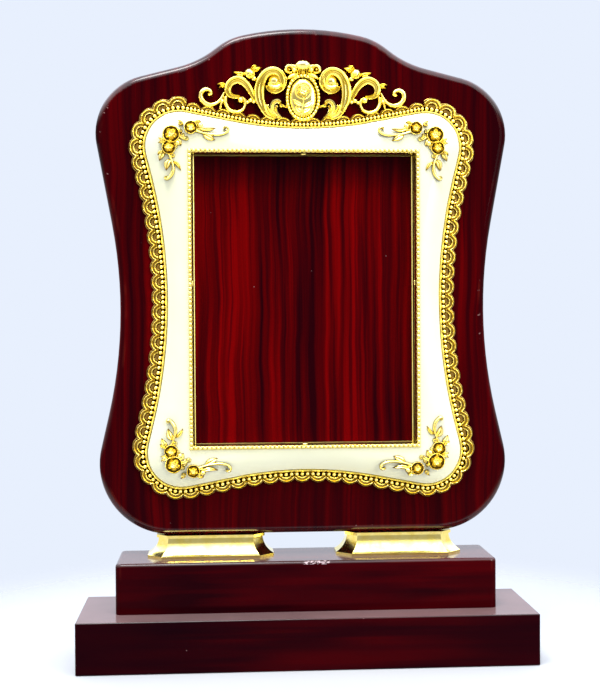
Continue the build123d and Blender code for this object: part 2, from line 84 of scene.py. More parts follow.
class Value:
    """A number that changes over a surface. Each operator adds the Math node that works it out."""

    def __init__(self, shader: Shader, socket: bpy.types.NodeSocket) -> None:
        """Wraps a node's output socket.

        Args:
            shader: the shader that it belongs to.
            socket: the socket.
        """
        self.shader = shader
        self.socket = socket

    def math(self, operation: str, first: Number, second: Number = 0.0) -> Value:
        """Adds one Math node.

        Args:
            operation: the node's operation.
            first: its first number.
            second: its second number.

        Returns:
            The node's result.
        """
        return self.shader.value("ShaderNodeMath", {"operation": operation}, {0: first, 1: second})

    def __add__(self, other: Number) -> Value:
        """Sum."""
        return self.math("ADD", self, other)

    def __radd__(self, other: float) -> Value:
        """Sum, with the number first."""
        return self.math("ADD", other, self)

    def __sub__(self, other: Number) -> Value:
        """Difference."""
        return self.math("SUBTRACT", self, other)

    def __rsub__(self, other: float) -> Value:
        """Difference, with the number first."""
        return self.math("SUBTRACT", other, self)

    def __mul__(self, other: Number) -> Value:
        """Product."""
        return self.math("MULTIPLY", self, other)

    def __rmul__(self, other: float) -> Value:
        """Product, with the number first."""
        return self.math("MULTIPLY", other, self)

    def __pow__(self, other: float) -> Value:
        """Power."""
        return self.math("POWER", self, other)

    def __abs__(self) -> Value:
        """Size without its sign."""
        return self.math("ABSOLUTE", self)

    def most(self, other: Number) -> Value:
        """The larger of two."""
        return self.math("MAXIMUM", self, other)

    def between(self, low: float, high: float, start: float = 0.0, end: float = 1.0) -> Value:
        """Eases from one result to another as the value goes from low to high.

        Args:
            low: the value that gives start.
            high: the value that gives end. It may be below low.
            start: the result at low.
            end: the result at high.

        Returns:
            The eased result, held beyond both ends.
        """
        if low > high:
            low, high, start, end = high, low, end, start
        settings = {"interpolation_type": "SMOOTHSTEP"}
        inputs = {0: self, 1: low, 2: high, 3: start, 4: end}
        return self.shader.value("ShaderNodeMapRange", settings, inputs)


Number = Value | float
Colour = Value | Sequence[float]
Stops = Sequence[tuple[float, Sequence[float]]]
Settings = dict | None
Inputs = dict | None


class Shader:
    """Builds the nodes of one material, or of the studio's surround."""

    def __init__(self, owner: bpy.types.Material | bpy.types.World) -> None:
        """Starts with no nodes.

        Args:
            owner: the material or world that the nodes belong to.
        """
        owner.use_nodes = True
        self.owner = owner
        self.tree = owner.node_tree
        self.tree.nodes.clear()

    @classmethod
    def named(cls, name: str) -> Shader:
        """Starts a new material of that name."""
        return cls(bpy.data.materials.new(name))

    def node(self, kind: str, settings: Settings = None, inputs: Inputs = None) -> bpy.types.Node:
        """Adds a node.

        Args:
            kind: the node's type.
            settings: its properties, set before its sockets. "stops" are a colour ramp's stops.
            inputs: values, Values or sockets, by the input's name or number.

        Returns:
            The new node.
        """
        made = self.tree.nodes.new(kind)
        for name, setting in (settings or {}).items():
            if name == "stops":
                self.set_stops(made.color_ramp, setting)
            else:
                setattr(made, name, setting)
        for key, given in (inputs or {}).items():
            source = given.socket if isinstance(given, Value) else given
            if isinstance(source, bpy.types.NodeSocket):
                self.tree.links.new(source, made.inputs[key])
            else:
                made.inputs[key].default_value = source
        return made

    def set_stops(self, ramp: bpy.types.ColorRamp, stops: Stops) -> None:
        """Gives a colour ramp its stops.

        Args:
            ramp: the ramp.
            stops: a position and a colour for each.
        """
        while len(ramp.elements) < len(stops):
            ramp.elements.new(1.0)
        for element, (position, colour) in zip(ramp.elements, stops):
            element.position = position
            element.color = (*colour, 1.0)

    def value(
        self, kind: str, settings: Settings = None, inputs: Inputs = None, output: int | str = 0
    ) -> Value:
        """Adds a node as node() does, and returns one of its outputs as a Value."""
        return Value(self, self.node(kind, settings, inputs).outputs[output])

    def place(self) -> Value:
        """The point on the object, in metres."""
        return self.value("ShaderNodeTexCoord", output="Object")

    def facing(self) -> Value:
        """The surface's own direction."""
        return self.value("ShaderNodeTexCoord", output="Normal")

    def vector(self, operation: str, first: Colour, second: Colour, output: str = "Vector") -> Value:
        """One Vector Math node on two vectors."""
        return self.value("ShaderNodeVectorMath", {"operation": operation}, {0: first, 1: second}, output)

    def axes(self, vector: Value) -> list[Value]:
        """The x, y and z of a vector."""
        split = self.node("ShaderNodeSeparateXYZ", inputs={0: vector})
        return [Value(self, output) for output in split.outputs]

    def noise(self, place: Value, scale: Sizes, detail: float = 2.0, rough: float = 0.5) -> Value:
        """Soft noise from 0 to 1.

        Args:
            place: the point it is read at.
            scale: waves per metre, the same every way or one number for each axis.
            detail: octaves of finer noise.
            rough: how strong the finer octaves are.

        Returns:
            The noise.
        """
        if not isinstance(scale, float):
            place = self.vector("MULTIPLY", place, scale)
            scale = 1.0
        inputs = {"Vector": place, "Scale": scale, "Detail": detail, "Roughness": rough}
        return self.value("ShaderNodeTexNoise", {"noise_dimensions": "3D"}, inputs)

    def specks(self, place: Value, per_metre: float, radius: float) -> Value:
        """Sparse round specks: 1 inside, 0 outside.

        Args:
            place: the point it is read at.
            per_metre: cells in a metre, with at most one speck in each.
            radius: a speck's radius as a share of a cell.

        Returns:
            The mask.
        """
        inputs = {"Vector": place, "Scale": per_metre, "Randomness": 1.0}
        return self.value("ShaderNodeTexVoronoi", None, inputs).between(radius, radius * 0.6)

    def mix(self, factor: Number, first: Colour, second: Colour) -> Value:
        """Goes from one colour to another.

        Args:
            factor: 0 for the first colour, 1 for the second.
            first: the first colour.
            second: the second colour.

        Returns:
            The mixed colour.
        """
        colours = [c if isinstance(c, Value) else (*c, 1.0) for c in (first, second)]
        inputs = {0: factor, 6: colours[0], 7: colours[1]}
        return self.value("ShaderNodeMix", {"data_type": "RGBA"}, inputs, output=2)

    def ramp(self, factor: Value, stops: Stops) -> Value:
        """A colour ramp with those stops."""
        return self.value("ShaderNodeValToRGB", {"stops": stops}, {0: factor})

    def bump(self, height: Value, depth: float, strength: float = 1.0) -> Value:
        """A surface direction from a height.

        Args:
            height: the height, from 0 to 1.
            depth: what a height of 1 stands for, in metres.
            strength: how much of it shows.

        Returns:
            The direction, for a Normal socket.
        """
        inputs = {"Height": height, "Distance": depth, "Strength": strength}
        return self.value("ShaderNodeBump", None, inputs)

    def surface(self, **sockets: Number | Sequence[float]) -> bpy.types.Material:
        """Closes the material with a Principled surface.

        Args:
            sockets: what its sockets hold, with _ for a space in their names.

        Returns:
            The finished material.
        """
        inputs = {name.replace("_", " "): given for name, given in sockets.items()}
        principled = self.node("ShaderNodeBsdfPrincipled", None, inputs)
        self.node("ShaderNodeOutputMaterial", None, {0: principled.outputs[0]})
        return self.owner


# ---------------------------------------------------------------- finishes


class Grain(Enum):
    """Which way the wood's grain runs."""

    UPRIGHT = 2
    ALONG = 0


@dataclass(frozen=True)
class RosewoodLacquer:
    """Dark red stained wood under clear gloss lacquer, worn a little along its rounded edges, where a
    painted reflection also lies.

    front is the y of its front face, and edge_band how far back its wear and edge tint reach. The colour
    goes from dark to bright with the grain, and darkens towards outer away from middle as painted shade.
    dust lies on what faces up.
    """

    name: str
    grain: Grain
    front: float
    edge_band: float
    streaks_per_metre: float = 300.0
    stretch: float = 46.0
    dark: tuple[float, float, float] = (0.016, 0.0002, 0.0018)
    mid: tuple[float, float, float] = (0.074, 0.0002, 0.0010)
    bright: tuple[float, float, float] = (0.165, 0.0004, 0.0009)
    # the colour that the painted shade away from middle darkens to
    outer: tuple[float, float, float] = (0.020, 0.0002, 0.0016)
    middle: tuple[float, float, float] = (0.0, 0.0, 0.0)
    gloss: float = 0.05
    top_coat: float = 0.22
    dust: float = 0.0
    chip_x: float | None = None
    # where the painted shadow under the window's top edge goes
    window_top: float | None = None
    window_half_w: float = 0.0

    def along(self, across: float, lengthwise: float) -> tuple[float, ...]:
        """Noise scales that are fine across the grain and long with it.

        Args:
            across: waves per metre across the grain.
            lengthwise: waves per metre along it.

        Returns:
            The scale on each axis.
        """
        scale = [across, across, across]
        scale[self.grain.value] = lengthwise
        return tuple(scale)

    def make(self) -> bpy.types.Material:
        """Builds the material.

        Returns:
            The finished material.
        """
        shader = Shader.named(self.name)
        place = shader.place()
        sway = (shader.noise(place, self.along(12.0, 16.0), 2.0) - 0.5) * 0.007
        bent = shader.vector("ADD", place, shader.value("ShaderNodeCombineXYZ", None, {0: sway}))
        band, streak = self.streaks_per_metre * 0.22, self.streaks_per_metre
        fibre, pore = self.streaks_per_metre * 5.0, self.streaks_per_metre * 1.7
        bands = shader.noise(bent, self.along(band, band / self.stretch), 1.0)
        streaks = shader.noise(bent, self.along(streak, streak / self.stretch), 1.5, 0.6)
        fibres = shader.noise(bent, self.along(fibre, fibre / 70.0), 2.0)
        grain = streaks * 0.52 + bands * 0.38 + fibres * 0.10
        colour = shader.ramp(grain, [(0.38, self.dark), (0.50, self.mid), (0.64, self.bright)])
        pores = shader.noise(bent, self.along(pore, pore / 60.0), 1.0).between(0.56, 0.66)
        colour = shader.mix(pores * 0.55, colour, self.dark)
        # painted shade: the colour darkens towards outer away from middle
        off_middle = shader.vector("DISTANCE", place, self.middle, "Value")
        colour = shader.mix(off_middle.between(0.055, 0.105, 0.0, 0.64), colour, self.outer)
        # painted shadow: the front is darkened in a band under the window's top edge
        if self.window_top is not None:
            colour = self.paint_window_shadow(shader, place, colour)
        colour = self.mark_edge_wear_and_sheen(shader, place, colour)
        smears = shader.noise(place, 22.0, 3.0)
        ripple = shader.noise(place, 160.0, 1.0) * 0.7 + fibres * 0.3
        up = shader.axes(shader.facing())[2]
        film = up.between(0.86, 0.99) * smears.between(0.25, 0.70, 0.7, 1.0) * self.dust
        colour = shader.mix(film, colour, (0.36, 0.22, 0.22))
        coat = abs(up).between(0.06, 0.26, 0.0, 0.85) * up.between(0.55, 0.95, 1.0, self.top_coat)
        return shader.surface(
            Base_Color=colour,
            Roughness=smears.between(0.35, 0.75, self.gloss, self.gloss * 1.8),
            IOR=1.07,
            Coat_Weight=coat,
            Coat_Roughness=self.gloss * 1.6,
            Coat_IOR=1.42,
            Normal=shader.bump(ripple, 0.00005, 0.4),
        )

    def paint_window_shadow(self, shader: Shader, place: Value, colour: Value) -> Value:
        """Paints a shadow on the front, in a band where it lies under the frame's upper window edge.

        Args:
            shader: the material in hand.
            place: the point on the object.
            colour: the colour so far.

        Returns:
            The shaded colour.
        """
        x, y, z = shader.axes(place)
        # painted shadow: a dark band just below the window's top, inside the window, on the front face
        # only
        high = z.between(self.window_top - 0.021, self.window_top)
        high = high * z.between(self.window_top + 0.014, self.window_top + 0.008)
        inside = abs(x).between(self.window_half_w, self.window_half_w * 0.98)
        on_front = y.between(self.front + 0.002, self.front + 0.001)
        return shader.mix(high * inside * on_front * 0.72, colour, (0.006, 0.0002, 0.0022))

    def mark_edge_wear_and_sheen(self, shader: Shader, place: Value, colour: Value) -> Value:
        """Lays worn edges with a painted reflection along them, chips and dust over the wood's colour.

        Args:
            shader: the material in hand.
            place: the point on the object.
            colour: the colour so far.

        Returns:
            The worn colour.
        """
        turned = abs(shader.axes(shader.facing())[1])
        band_end = self.front + self.edge_band
        near_front = shader.axes(place)[1].between(band_end, self.front + self.edge_band * 0.9)
        shoulder = turned.between(0.90, 0.975) * turned.between(0.9999, 0.996) * near_front
        # an orange tint where the rounded edge starts: partly lacquer worn thin, partly a painted
        # reflection
        wear_and_sheen = shoulder * shader.noise(place, 40.0, 3.0).between(0.50, 0.66)
        colour = shader.mix(wear_and_sheen * 0.08, colour, (0.30, 0.045, 0.022))
        chipped = shoulder * shader.noise(place, 620.0, 1.0).between(0.70, 0.72)
        chipped = chipped * shader.noise(place, 16.0, 1.0).between(0.54, 0.60)
        colour = shader.mix(chipped * 0.45, colour, (0.42, 0.22, 0.20))
        if self.chip_x is not None:
            along_edge = abs(shader.axes(place)[0] - self.chip_x).between(0.0075, 0.0045)
            broken = turned.between(0.20, 0.40) * turned.between(0.99999, 0.9990) * near_front
            broken = broken * along_edge
            flakes = shader.noise(place, (650.0, 1300.0, 1300.0), 2.0).between(0.49, 0.55)
            colour = shader.mix(broken * flakes, colour, (0.66, 0.50, 0.52))
        return shader.mix(shader.specks(place, 75.0, 0.020) * 0.6, colour, (0.35, 0.22, 0.22))


@dataclass(frozen=True)
class GoldPlate:
    """Bright plated casting, darker and duller where it lies deep in its hollows: partly patina, partly
    painted shade.

    Heights are measured forwards from the y of front: bright above proud, dull at deep, and painted
    nearly black as shadow below the last of the three heights. matt is how much rougher the deepest
    places are.
    """

    name: str
    front: float
    deep: float
    proud: float
    # the height below which the casting is painted nearly black as shadow
    shadow_depth: float = 0.0003
    matt: float = 0.20

    def make(self) -> bpy.types.Material:
        """Builds the material.

        Returns:
            The finished material.
        """
        shader = Shader.named(self.name)
        place = shader.place()
        height = self.front - shader.axes(place)[1]
        mottle = shader.noise(place, 260.0, 3.0)
        # darker and duller in the hollows: partly patina, partly painted shade
        sunk = (height + (mottle - 0.5) * 0.0006).between(self.proud, self.deep)
        bright = shader.mix(mottle.between(0.3, 0.7), (0.95, 0.83, 0.32), (0.89, 0.73, 0.19))
        colour = shader.mix(sunk * 0.88, bright, (0.22, 0.105, 0.010))
        # painted shadow: nearly black where the casting lies at the board's level
        painted_shadow = height.between(self.shadow_depth, self.shadow_depth - 0.00015)
        colour = shader.mix(painted_shadow, colour, (0.015, 0.006, 0.002))
        rough = sunk * self.matt + mottle.between(0.3, 0.8, 0.09, 0.17)
        pits = shader.noise(place, 1500.0, 2.0) * 0.4 + mottle * 0.6
        return shader.surface(
            Base_Color=colour,
            Metallic=1.0,
            Roughness=rough,
            Normal=shader.bump(pits, 0.00008, 0.5),
        )


@dataclass(frozen=True)
class CreamEnamel:
    """Glossy cream enamel, a little uneven in tone, with faint ripples and specks."""

    name: str

    def make(self) -> bpy.types.Material:
        """Builds the material.

        Returns:
            The finished material.
        """
        shader = Shader.named(self.name)
        place = shader.place()
        cloud = shader.noise(place, 30.0, 3.0)
        colour = shader.mix(cloud.between(0.3, 0.7), (0.95, 0.94, 0.67), (0.93, 0.91, 0.61))
        colour = shader.mix(shader.specks(place, 160.0, 0.03) * 0.35, colour, (0.5, 0.42, 0.28))
        ripple = shader.noise(place, 190.0, 2.0)
        return shader.surface(
            Base_Color=colour,
            Roughness=cloud.between(0.3, 0.7, 0.16, 0.24),
            IOR=1.5,
            Coat_Weight=0.3,
            Coat_Roughness=0.06,
            Normal=shader.bump(ripple, 0.00008, 0.5),
        )


@dataclass(frozen=True)
class PressedFelt:
    """Thin black felt with loose fibres."""

    name: str

    def make(self) -> bpy.types.Material:
        """Builds the material.

        Returns:
            The finished material.
        """
        shader = Shader.named(self.name)
        place = shader.place()
        fibres = shader.noise(place, (900.0, 2600.0, 2600.0), 4.0, 0.7)
        lint = shader.noise(place, (2600.0, 700.0, 2600.0), 3.0, 0.6)
        fuzz = fibres * 0.5 + lint * 0.5
        colour = shader.mix(fuzz.between(0.35, 0.75), (0.010, 0.010, 0.011), (0.055, 0.055, 0.06))
        return shader.surface(
            Base_Color=colour,
            Roughness=fuzz.between(0.3, 0.7, 0.85, 1.0),
            Sheen_Weight=0.4,
            Normal=shader.bump(fuzz, 0.0004, 0.9),
        )


@dataclass(frozen=True)
class ZincSteel:
    """Zinc-plated screws, slightly brushed and clouded."""

    name: str

    def make(self) -> bpy.types.Material:
        """Builds the material.

        Returns:
            The finished material.
        """
        shader = Shader.named(self.name)
        place = shader.place()
        brushed = shader.noise(place, (3200.0, 3200.0, 500.0), 3.0)
        cloud = shader.noise(place, 420.0, 2.0)
        colour = shader.mix(cloud.between(0.35, 0.7), (0.62, 0.63, 0.65), (0.42, 0.43, 0.44))
        return shader.surface(
            Base_Color=colour,
            Metallic=1.0,
            Roughness=brushed.between(0.3, 0.7, 0.22, 0.42),
            Normal=shader.bump(brushed, 0.00005, 0.6),
        )


# ---------------------------------------------------------------- lines


class Line:
    """An open or closed line in the (x, z) plane, as close points, with a side direction at each.

    On a closed line the side direction points outwards. On an open one it is to the left.
    """

    def __init__(self, points: np.ndarray, closed: bool = False) -> None:
        """Keeps the points, and works out lengths and side directions.

        Args:
            points: (x, z) rows, in order.
            closed: the last point meets the first.
        """
        self.points = np.asarray(points, float)
        self.closed = closed
        ring = np.vstack([self.points, self.points[:1]]) if closed else self.points
        steps = np.linalg.norm(np.diff(ring, axis=0), axis=1)
        self.places = np.concatenate([[0.0], np.cumsum(steps)])
        self.length = float(self.places[-1])
        before = np.roll(self.points, 1, axis=0)
        after = np.roll(self.points, -1, axis=0)
        if not closed:
            before[0] = self.points[0]
            after[-1] = self.points[-1]
        run = after - before
        run = run / np.linalg.norm(run, axis=1)[:, None]
        self.sides = np.stack([-run[:, 1], run[:, 0]], axis=1)
        if closed and np.sum(self.sides * (self.points - self.points.mean(0))) < 0:
            self.sides = -self.sides

    def at(self, places: np.ndarray | Sequence[float], away: Sizes = 0.0) -> np.ndarray:
        """Points on the line, or beside it.

        Args:
            places: lengths along the line. A closed line goes round again past its end.
            away: how far to the side of the line each point lies.

        Returns:
            One (x, z) row for each place.
        """
        places = np.asarray(places, float)
        if self.closed:
            places = np.mod(places, self.length)
        points, sides = (
            np.vstack([rows, rows[:1]]) if self.closed else rows for rows in (self.points, self.sides)
        )
        found = [
            np.stack([np.interp(places, self.places, rows[:, axis]) for axis in (0, 1)], axis=1)
            for rows in (points, sides)
        ]
        return found[0] + found[1] * np.broadcast_to(away, places.shape)[:, None]

    def beside(self, away: float) -> Line:
        """The line that runs beside this one, to its side."""
        return Line(self.points + self.sides * away, self.closed)

    def split(self, count: int) -> Line:
        """The same line in even steps.

        Args:
            count: the number of steps.

        Returns:
            The line.
        """
        ends = 0 if self.closed else 1
        places = np.linspace(0.0, self.length, count + ends, endpoint=not self.closed)
        return Line(self.at(places), self.closed)

    def place_of(self, x: float, upper: bool) -> float:
        """How far along a closed line its upper or lower point with a given x is.

        Args:
            x: the point's x.
            upper: it is in the line's upper half.

        Returns:
            The length from the line's start.
        """
        half = self.points[:, 1] > self.points[:, 1].mean()
        gap = np.abs(self.points[:, 0] - x) + np.where(half == upper, 0.0, 1e3)
        return float(self.places[int(np.argmin(gap))])


def round_turn(count: int) -> tuple[np.ndarray, np.ndarray]:
    """Even angles round a circle.

    Args:
        count: how many.

    Returns:
        The angles, and the unit (x, z) point at each.
    """
    turns = 2 * math.pi * np.arange(count) / count
    return turns, np.stack([np.cos(turns), np.sin(turns)], axis=1)


def rounded_loop(corners: Sequence[tuple[float, float, float]], step: float) -> Line:
    """A closed line of straight runs with rounded corners.

    Args:
        corners: the (x, z, radius) of each corner.
        step: about how far apart its points are.

    Returns:
        The line.
    """
    points = []
    count = len(corners)
    for index, (x, z, radius) in enumerate(corners):
        corner = np.array([x, z])
        before = np.array(corners[index - 1][:2]) - corner
        after = np.array(corners[(index + 1) % count][:2]) - corner
        before, after = before / np.linalg.norm(before), after / np.linalg.norm(after)
        half = math.acos(float(np.clip(before @ after, -1, 1))) / 2
        middle = (before + after) / np.linalg.norm(before + after)
        centre = corner + middle * radius / math.sin(half)
        first = corner + before * radius / math.tan(half) - centre
        last = corner + after * radius / math.tan(half) - centre
        start, end = math.atan2(first[1], first[0]), math.atan2(last[1], last[0])
        sweep = (end - start + math.pi) % (2 * math.pi) - math.pi
        pieces = max(4, int(abs(sweep) * radius / step))
        for angle in start + sweep * np.linspace(0, 1, pieces + 1):
            points.append(centre + radius * np.array([math.cos(angle), math.sin(angle)]))
    line = Line(np.array(points), closed=True)
    return line.split(int(line.length / step))


def flowing(points: Sequence[Point], step: float = 0.3) -> Line:
    """A smooth open line through points chosen along it.

    Args:
        points: the points that it passes through.
        step: about how far apart its own points are.

    Returns:
        The line.
    """
    given = np.array(points, float)
    padded = np.vstack([2 * given[0] - given[1], given, 2 * given[-1] - given[-2]])
    rows = []
    for a, b, c, d in zip(padded, padded[1:], padded[2:], padded[3:]):
        for t in np.linspace(0, 1, 12, endpoint=False):
            squared = (2 * a - 5 * b + 4 * c - d) * t**2
            cubed = (3 * b - a - 3 * c + d) * t**3
            rows.append(0.5 * (2 * b + (c - a) * t + squared + cubed))
    rows.append(given[-1])
    line = Line(np.array(rows))
    return line.split(max(6, int(line.length / step)))


def arc(centre: Point, radius: float, start: float, sweep: float, step: float = 0.3) -> Line:
    """An open arc of a circle.

    Args:
        centre: its centre.
        radius: its radius.
        start: where it starts, in degrees anticlockwise from the right.
        sweep: how many degrees it turns anticlockwise.
        step: about how far apart its points are.

    Returns:
        The line.
    """
    pieces = max(6, int(abs(math.radians(sweep)) * radius / step))
    angles = np.radians(np.linspace(start, start + sweep, pieces + 1))
    unit = np.stack([np.cos(angles), np.sin(angles)], axis=1)
    return Line(np.array(centre) + radius * unit)


# ---------------------------------------------------------------- castings


class Section(Enum):
    """A ribbon's cut: (side, height) points from one edge to the other."""

    ROUND = tuple((math.cos(a), math.sin(a)) for a in np.linspace(0, math.pi, 9))
    RIDGED = (
        (1, 0), (0.96, 0.45), (0.72, 0.72), (0.42, 0.70), (0.20, 0.93), (0, 1),
        (-0.20, 0.93), (-0.42, 0.70), (-0.72, 0.72), (-0.96, 0.45), (-1, 0),
    )
    DISHED = (
        (1, 0), (1, 0.62), (0.88, 0.93), (0.68, 1.0), (0.46, 0.80), (0.22, 0.58), (0, 0.52),
        (-0.22, 0.58), (-0.46, 0.80), (-0.68, 1.0), (-0.88, 0.93), (-1, 0.62), (-1, 0),
    )
    LEAF = (
        (1, 0), (0.95, 0.45), (0.74, 0.82), (0.42, 1.0), (0.18, 0.88), (0, 0.66),
        (-0.18, 0.88), (-0.42, 1.0), (-0.74, 0.82), (-0.95, 0.45), (-1, 0),
    )


class Ends(Enum):
    """How a ribbon ends: rounded at both ends, cut straight, or drawn out to points like a leaf."""

    ROUND = 0
    STRAIGHT = 1
    POINTED = 2


class Casting:
    """Collects closed shells of ornament, and makes one object of them."""

    def __init__(self, layout: Layout) -> None:
        """Starts with no shells.

        Args:
            layout: where the construction puts the board's front.
        """
        self.layout = layout
        self.points: list[np.ndarray] = []
        self.faces: list[tuple[int, ...]] = []
        self.count = 0

    def shell(self, points: np.ndarray, faces: Sequence[Sequence[int]]) -> None:
        """Adds a closed shell.

        Args:
            points: its (x, z, h) points.
            faces: the point numbers of each face.
        """
        self.points.append(np.asarray(points, float))
        self.faces.extend(tuple(self.count + index for index in face) for face in faces)
        self.count += len(points)

    def grid(self, rows: np.ndarray, closed: bool) -> None:
        """Adds a shell whose points are rings: a tube.

        Args:
            rows: an array of rings, of points, of (x, z, h).
            closed: the last ring meets the first, and otherwise both end rings are capped.
        """
        rings, around, _ = rows.shape
        faces = []
        for i in range(rings if closed else rings - 1):
            j = (i + 1) % rings
            for k in range(around):
                n = (k + 1) % around
                faces.append((i * around + k, i * around + n, j * around + n, j * around + k))
        if not closed:
            faces.append(tuple(range(around)))
            faces.append(tuple(range((rings - 1) * around, rings * around))[::-1])
        self.shell(rows.reshape(-1, 3), faces)

    def ribbon(
        self,
        line: Line,
        widths: Sizes,
        heights: Sizes,
        section: Section = Section.ROUND,
        ends: Ends = Ends.ROUND,
        base: float = 0.0,
    ) -> None:
        """Sweeps a cross-section along a line.

        Args:
            line: the middle of the ribbon.
            widths: one width, or several spread evenly along it.
            heights: one height over the base, or several.
            section: the shape across it.
            ends: how it ends.
            base: the height that it stands on.
        """
        share = line.places[: len(line.points)] / line.length
        width, height = (
            np.interp(share, np.linspace(0, 1, len(np.atleast_1d(sizes))), np.atleast_1d(sizes))
            for sizes in (widths, heights)
        )
        if not line.closed:
            from_end = np.minimum(share, 1 - share) * line.length
            if ends is Ends.ROUND:
                near = np.clip(from_end / (width / 2), 0.04, 1)
                width = width * np.sqrt(1 - (1 - near) ** 2)
                height = height * np.sqrt(1 - (1 - near) ** 2)
            elif ends is Ends.POINTED:
                swell = np.clip(np.sin(math.pi * np.clip(share, 0.015, 0.985) ** 0.8), 0.03, 1) ** 0.8
                width = width * swell
                height = height * (0.25 + 0.75 * swell)
        across = np.array(section.value, float)
        flat = line.points[:, None] + line.sides[:, None] * across[None, :, :1] * width[:, None, None] / 2
        up = base + across[None, :, 1] * height[:, None]
        self.grid(np.concatenate([flat, up[:, :, None]], axis=2), line.closed)

    def dome(
        self, x: float, z: float, radius: float, height: float, base: float = 0.0, around: int = 12
    ) -> None:
        """Adds a round bead or knob, sunk to its middle in the base.

        Args:
            x: its centre.
            z: its centre.
            radius: its radius.
            height: how far it stands over the base.
            base: the height that it stands on.
            around: how many faces go round it.
        """
        tall = max(3, around // 3)
        _, unit = round_turn(around)
        rings = []
        for i in range(1, 2 * tall):
            slant = math.pi * i / (2 * tall)
            up = np.full(around, base + height * math.cos(slant))
            rings.append(np.column_stack([(x, z) + radius * math.sin(slant) * unit, up]))
        self.grid(np.array(rings), closed=False)

    def heap(self, x: float, z: float, edge: np.ndarray, tops: np.ndarray, base: float) -> None:
        """Adds a mound on a polar grid, closed below.

        Args:
            x: its centre.
            z: its centre.
            edge: its radius in each direction, evenly round.
            tops: its height in each direction at even steps from the centre outwards.
            base: the height of its underside.
        """
        steps, around = tops.shape
        _, unit = round_turn(around)
        rings = []
        for i in range(steps):
            out = edge * (i + 0.15) / (steps - 0.85)
            rings.append(np.column_stack([(x, z) + out[:, None] * unit, tops[i]]))
        rings.append(np.column_stack([rings[-1][:, :2], np.full(around, base)]))
        self.grid(np.array(rings), closed=False)

    def petal(
        self, x: float, z: float, size: float, level: float, cup: float, bearing: float, base: float
    ) -> None:
        """Adds a round petal whose outer rim stands up.

        Args:
            x: its centre.
            z: its centre.
            size: its radius.
            level: its height at the centre.
            cup: how much higher its rim is, on the side away from the flower's middle.
            bearing: the direction away from the flower's middle.
            base: the height of its underside.
        """
        steps, around = 8, 22
        share = ((np.arange(steps) + 0.15) / (steps - 0.85))[:, None]
        turns, _ = round_turn(around)
        outward = 0.5 + 0.5 * np.cos(turns - bearing)[None, :]
        rim = np.clip(share / 0.86, 0, 1) ** 2.5
        rolled = 0.55 * cup * np.clip((share - 0.86) / 0.14, 0, 1) ** 2
        tops = level + cup * rim * (0.15 + 0.85 * outward) - rolled
        self.heap(x, z, np.full(around, size), tops, base)

    def rose(
        self, x: float, z: float, radius: float, height: float, base: float, turn: float = 0.0
    ) -> None:
        """Adds an open rose: an outer cup with a deep groove in it, and petals round a furled bud.

        Args:
            x: its centre.
            z: its centre.
            radius: its radius.
            height: its height over the base.
            base: the height that it stands on.
            turn: how far it is turned, in radians.
        """
        turns, unit = round_turn(40)
        brim = radius * (0.91 + 0.015 * np.cos(5 * (turns - turn)))
        floor = np.full((4, 40), base + 0.2)
        self.heap(x, z, brim, floor, base - 0.3)
        line = Line((x, z) + brim[:, None] * unit, closed=True)
        self.ribbon(line, radius * 0.17, height * 0.60, base=base)
        for petals, ring, size, level, cup, late in (
            (5, 0.43, 0.31, 0.26, 0.34, 0.0),
            (4, 0.24, 0.25, 0.50, 0.30, 0.5),
            (1, 0.05, 0.14, 0.80, 0.22, 0.0),
        ):
            for petal in range(petals):
                bearing = turn + (petal + late) * 2 * math.pi / petals
                across = x + radius * ring * math.cos(bearing)
                up = z + radius * ring * math.sin(bearing)
                low = base + height * level
                self.petal(across, up, radius * size, low, height * cup, bearing, base)

    def mark(self) -> tuple[int, int, int]:
        """Where the casting has got to, for mirror()."""
        return len(self.points), len(self.faces), self.count

    def mirror(self, since: tuple[int, int, int]) -> None:
        """Repeats on the left what was added on the right.

        Args:
            since: the mark() from before it was added.
        """
        shells, faces, count = since
        repeated = [rows * (-1, 1, 1) for rows in self.points[shells:]]
        moved = self.count - count
        self.faces.extend(tuple(index + moved for index in face) for face in self.faces[faces:])
        self.points.extend(repeated)
        self.count += moved

    def make(
        self, name: str, material: bpy.types.Material, slot: str, nodes: Sequence[str] = ()
    ) -> bpy.types.Object:
        """Makes the object.

        Args:
            name: the piece's name.
            material: its finish.
            slot: the record's material slot for it; not used.
            nodes: the construction nodes that it stands for.

        Returns:
            The object, riding on the root body.
        """
        rows = np.vstack(self.points)
        y = self.layout.board_front - rows[:, 2]
        points = np.stack([rows[:, 0], y, rows[:, 1]], axis=1) * MM
        mesh = bpy.data.meshes.new(name)
        mesh.from_pydata(points.tolist(), [], self.faces)
        shaped = bmesh.new()
        shaped.from_mesh(mesh)
        bmesh.ops.recalc_face_normals(shaped, faces=shaped.faces)
        shaped.to_mesh(mesh)
        shaped.free()
        mesh.shade_smooth()
        mesh.set_sharp_from_angle(angle=SHARP)
        mesh.materials.append(material)
        made = bpy.data.objects.new(name, mesh)
        bpy.context.scene.collection.objects.link(made)
        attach(made, "root")
        if nodes:
            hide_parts(*nodes)
        LOG.info("%s: %d faces", name, len(mesh.polygons))
        return made


# ---------------------------------------------------------------- what the construction says


@dataclass(frozen=True)
class Layout:
    """Where the construction puts the board's front and the frame, in millimetres."""

    board_front: float
    frame_z: float
    frame_depth: float
    window_w: float
    window_h: float

    @classmethod
    def read(cls) -> Layout:
        """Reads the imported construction's boxes.

        Returns:
            The layout, with the window's size inside the liner's flanges.
        """
        board_low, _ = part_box("backboard")
        low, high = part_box("frame_body")
        liner_low, liner_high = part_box("window_liner")
        flange = 2 * LINER_FLANGE
        return cls(
            board_front=board_low.y / MM,
            frame_z=(low.z + high.z) / 2 / MM,
            frame_depth=(board_low.y - low.y) / MM,
            window_w=(liner_high.x - liner_low.x) / MM - flange,
            window_h=(liner_high.z - liner_low.z) / MM - flange,
        )


# ---------------------------------------------------------------- the frame


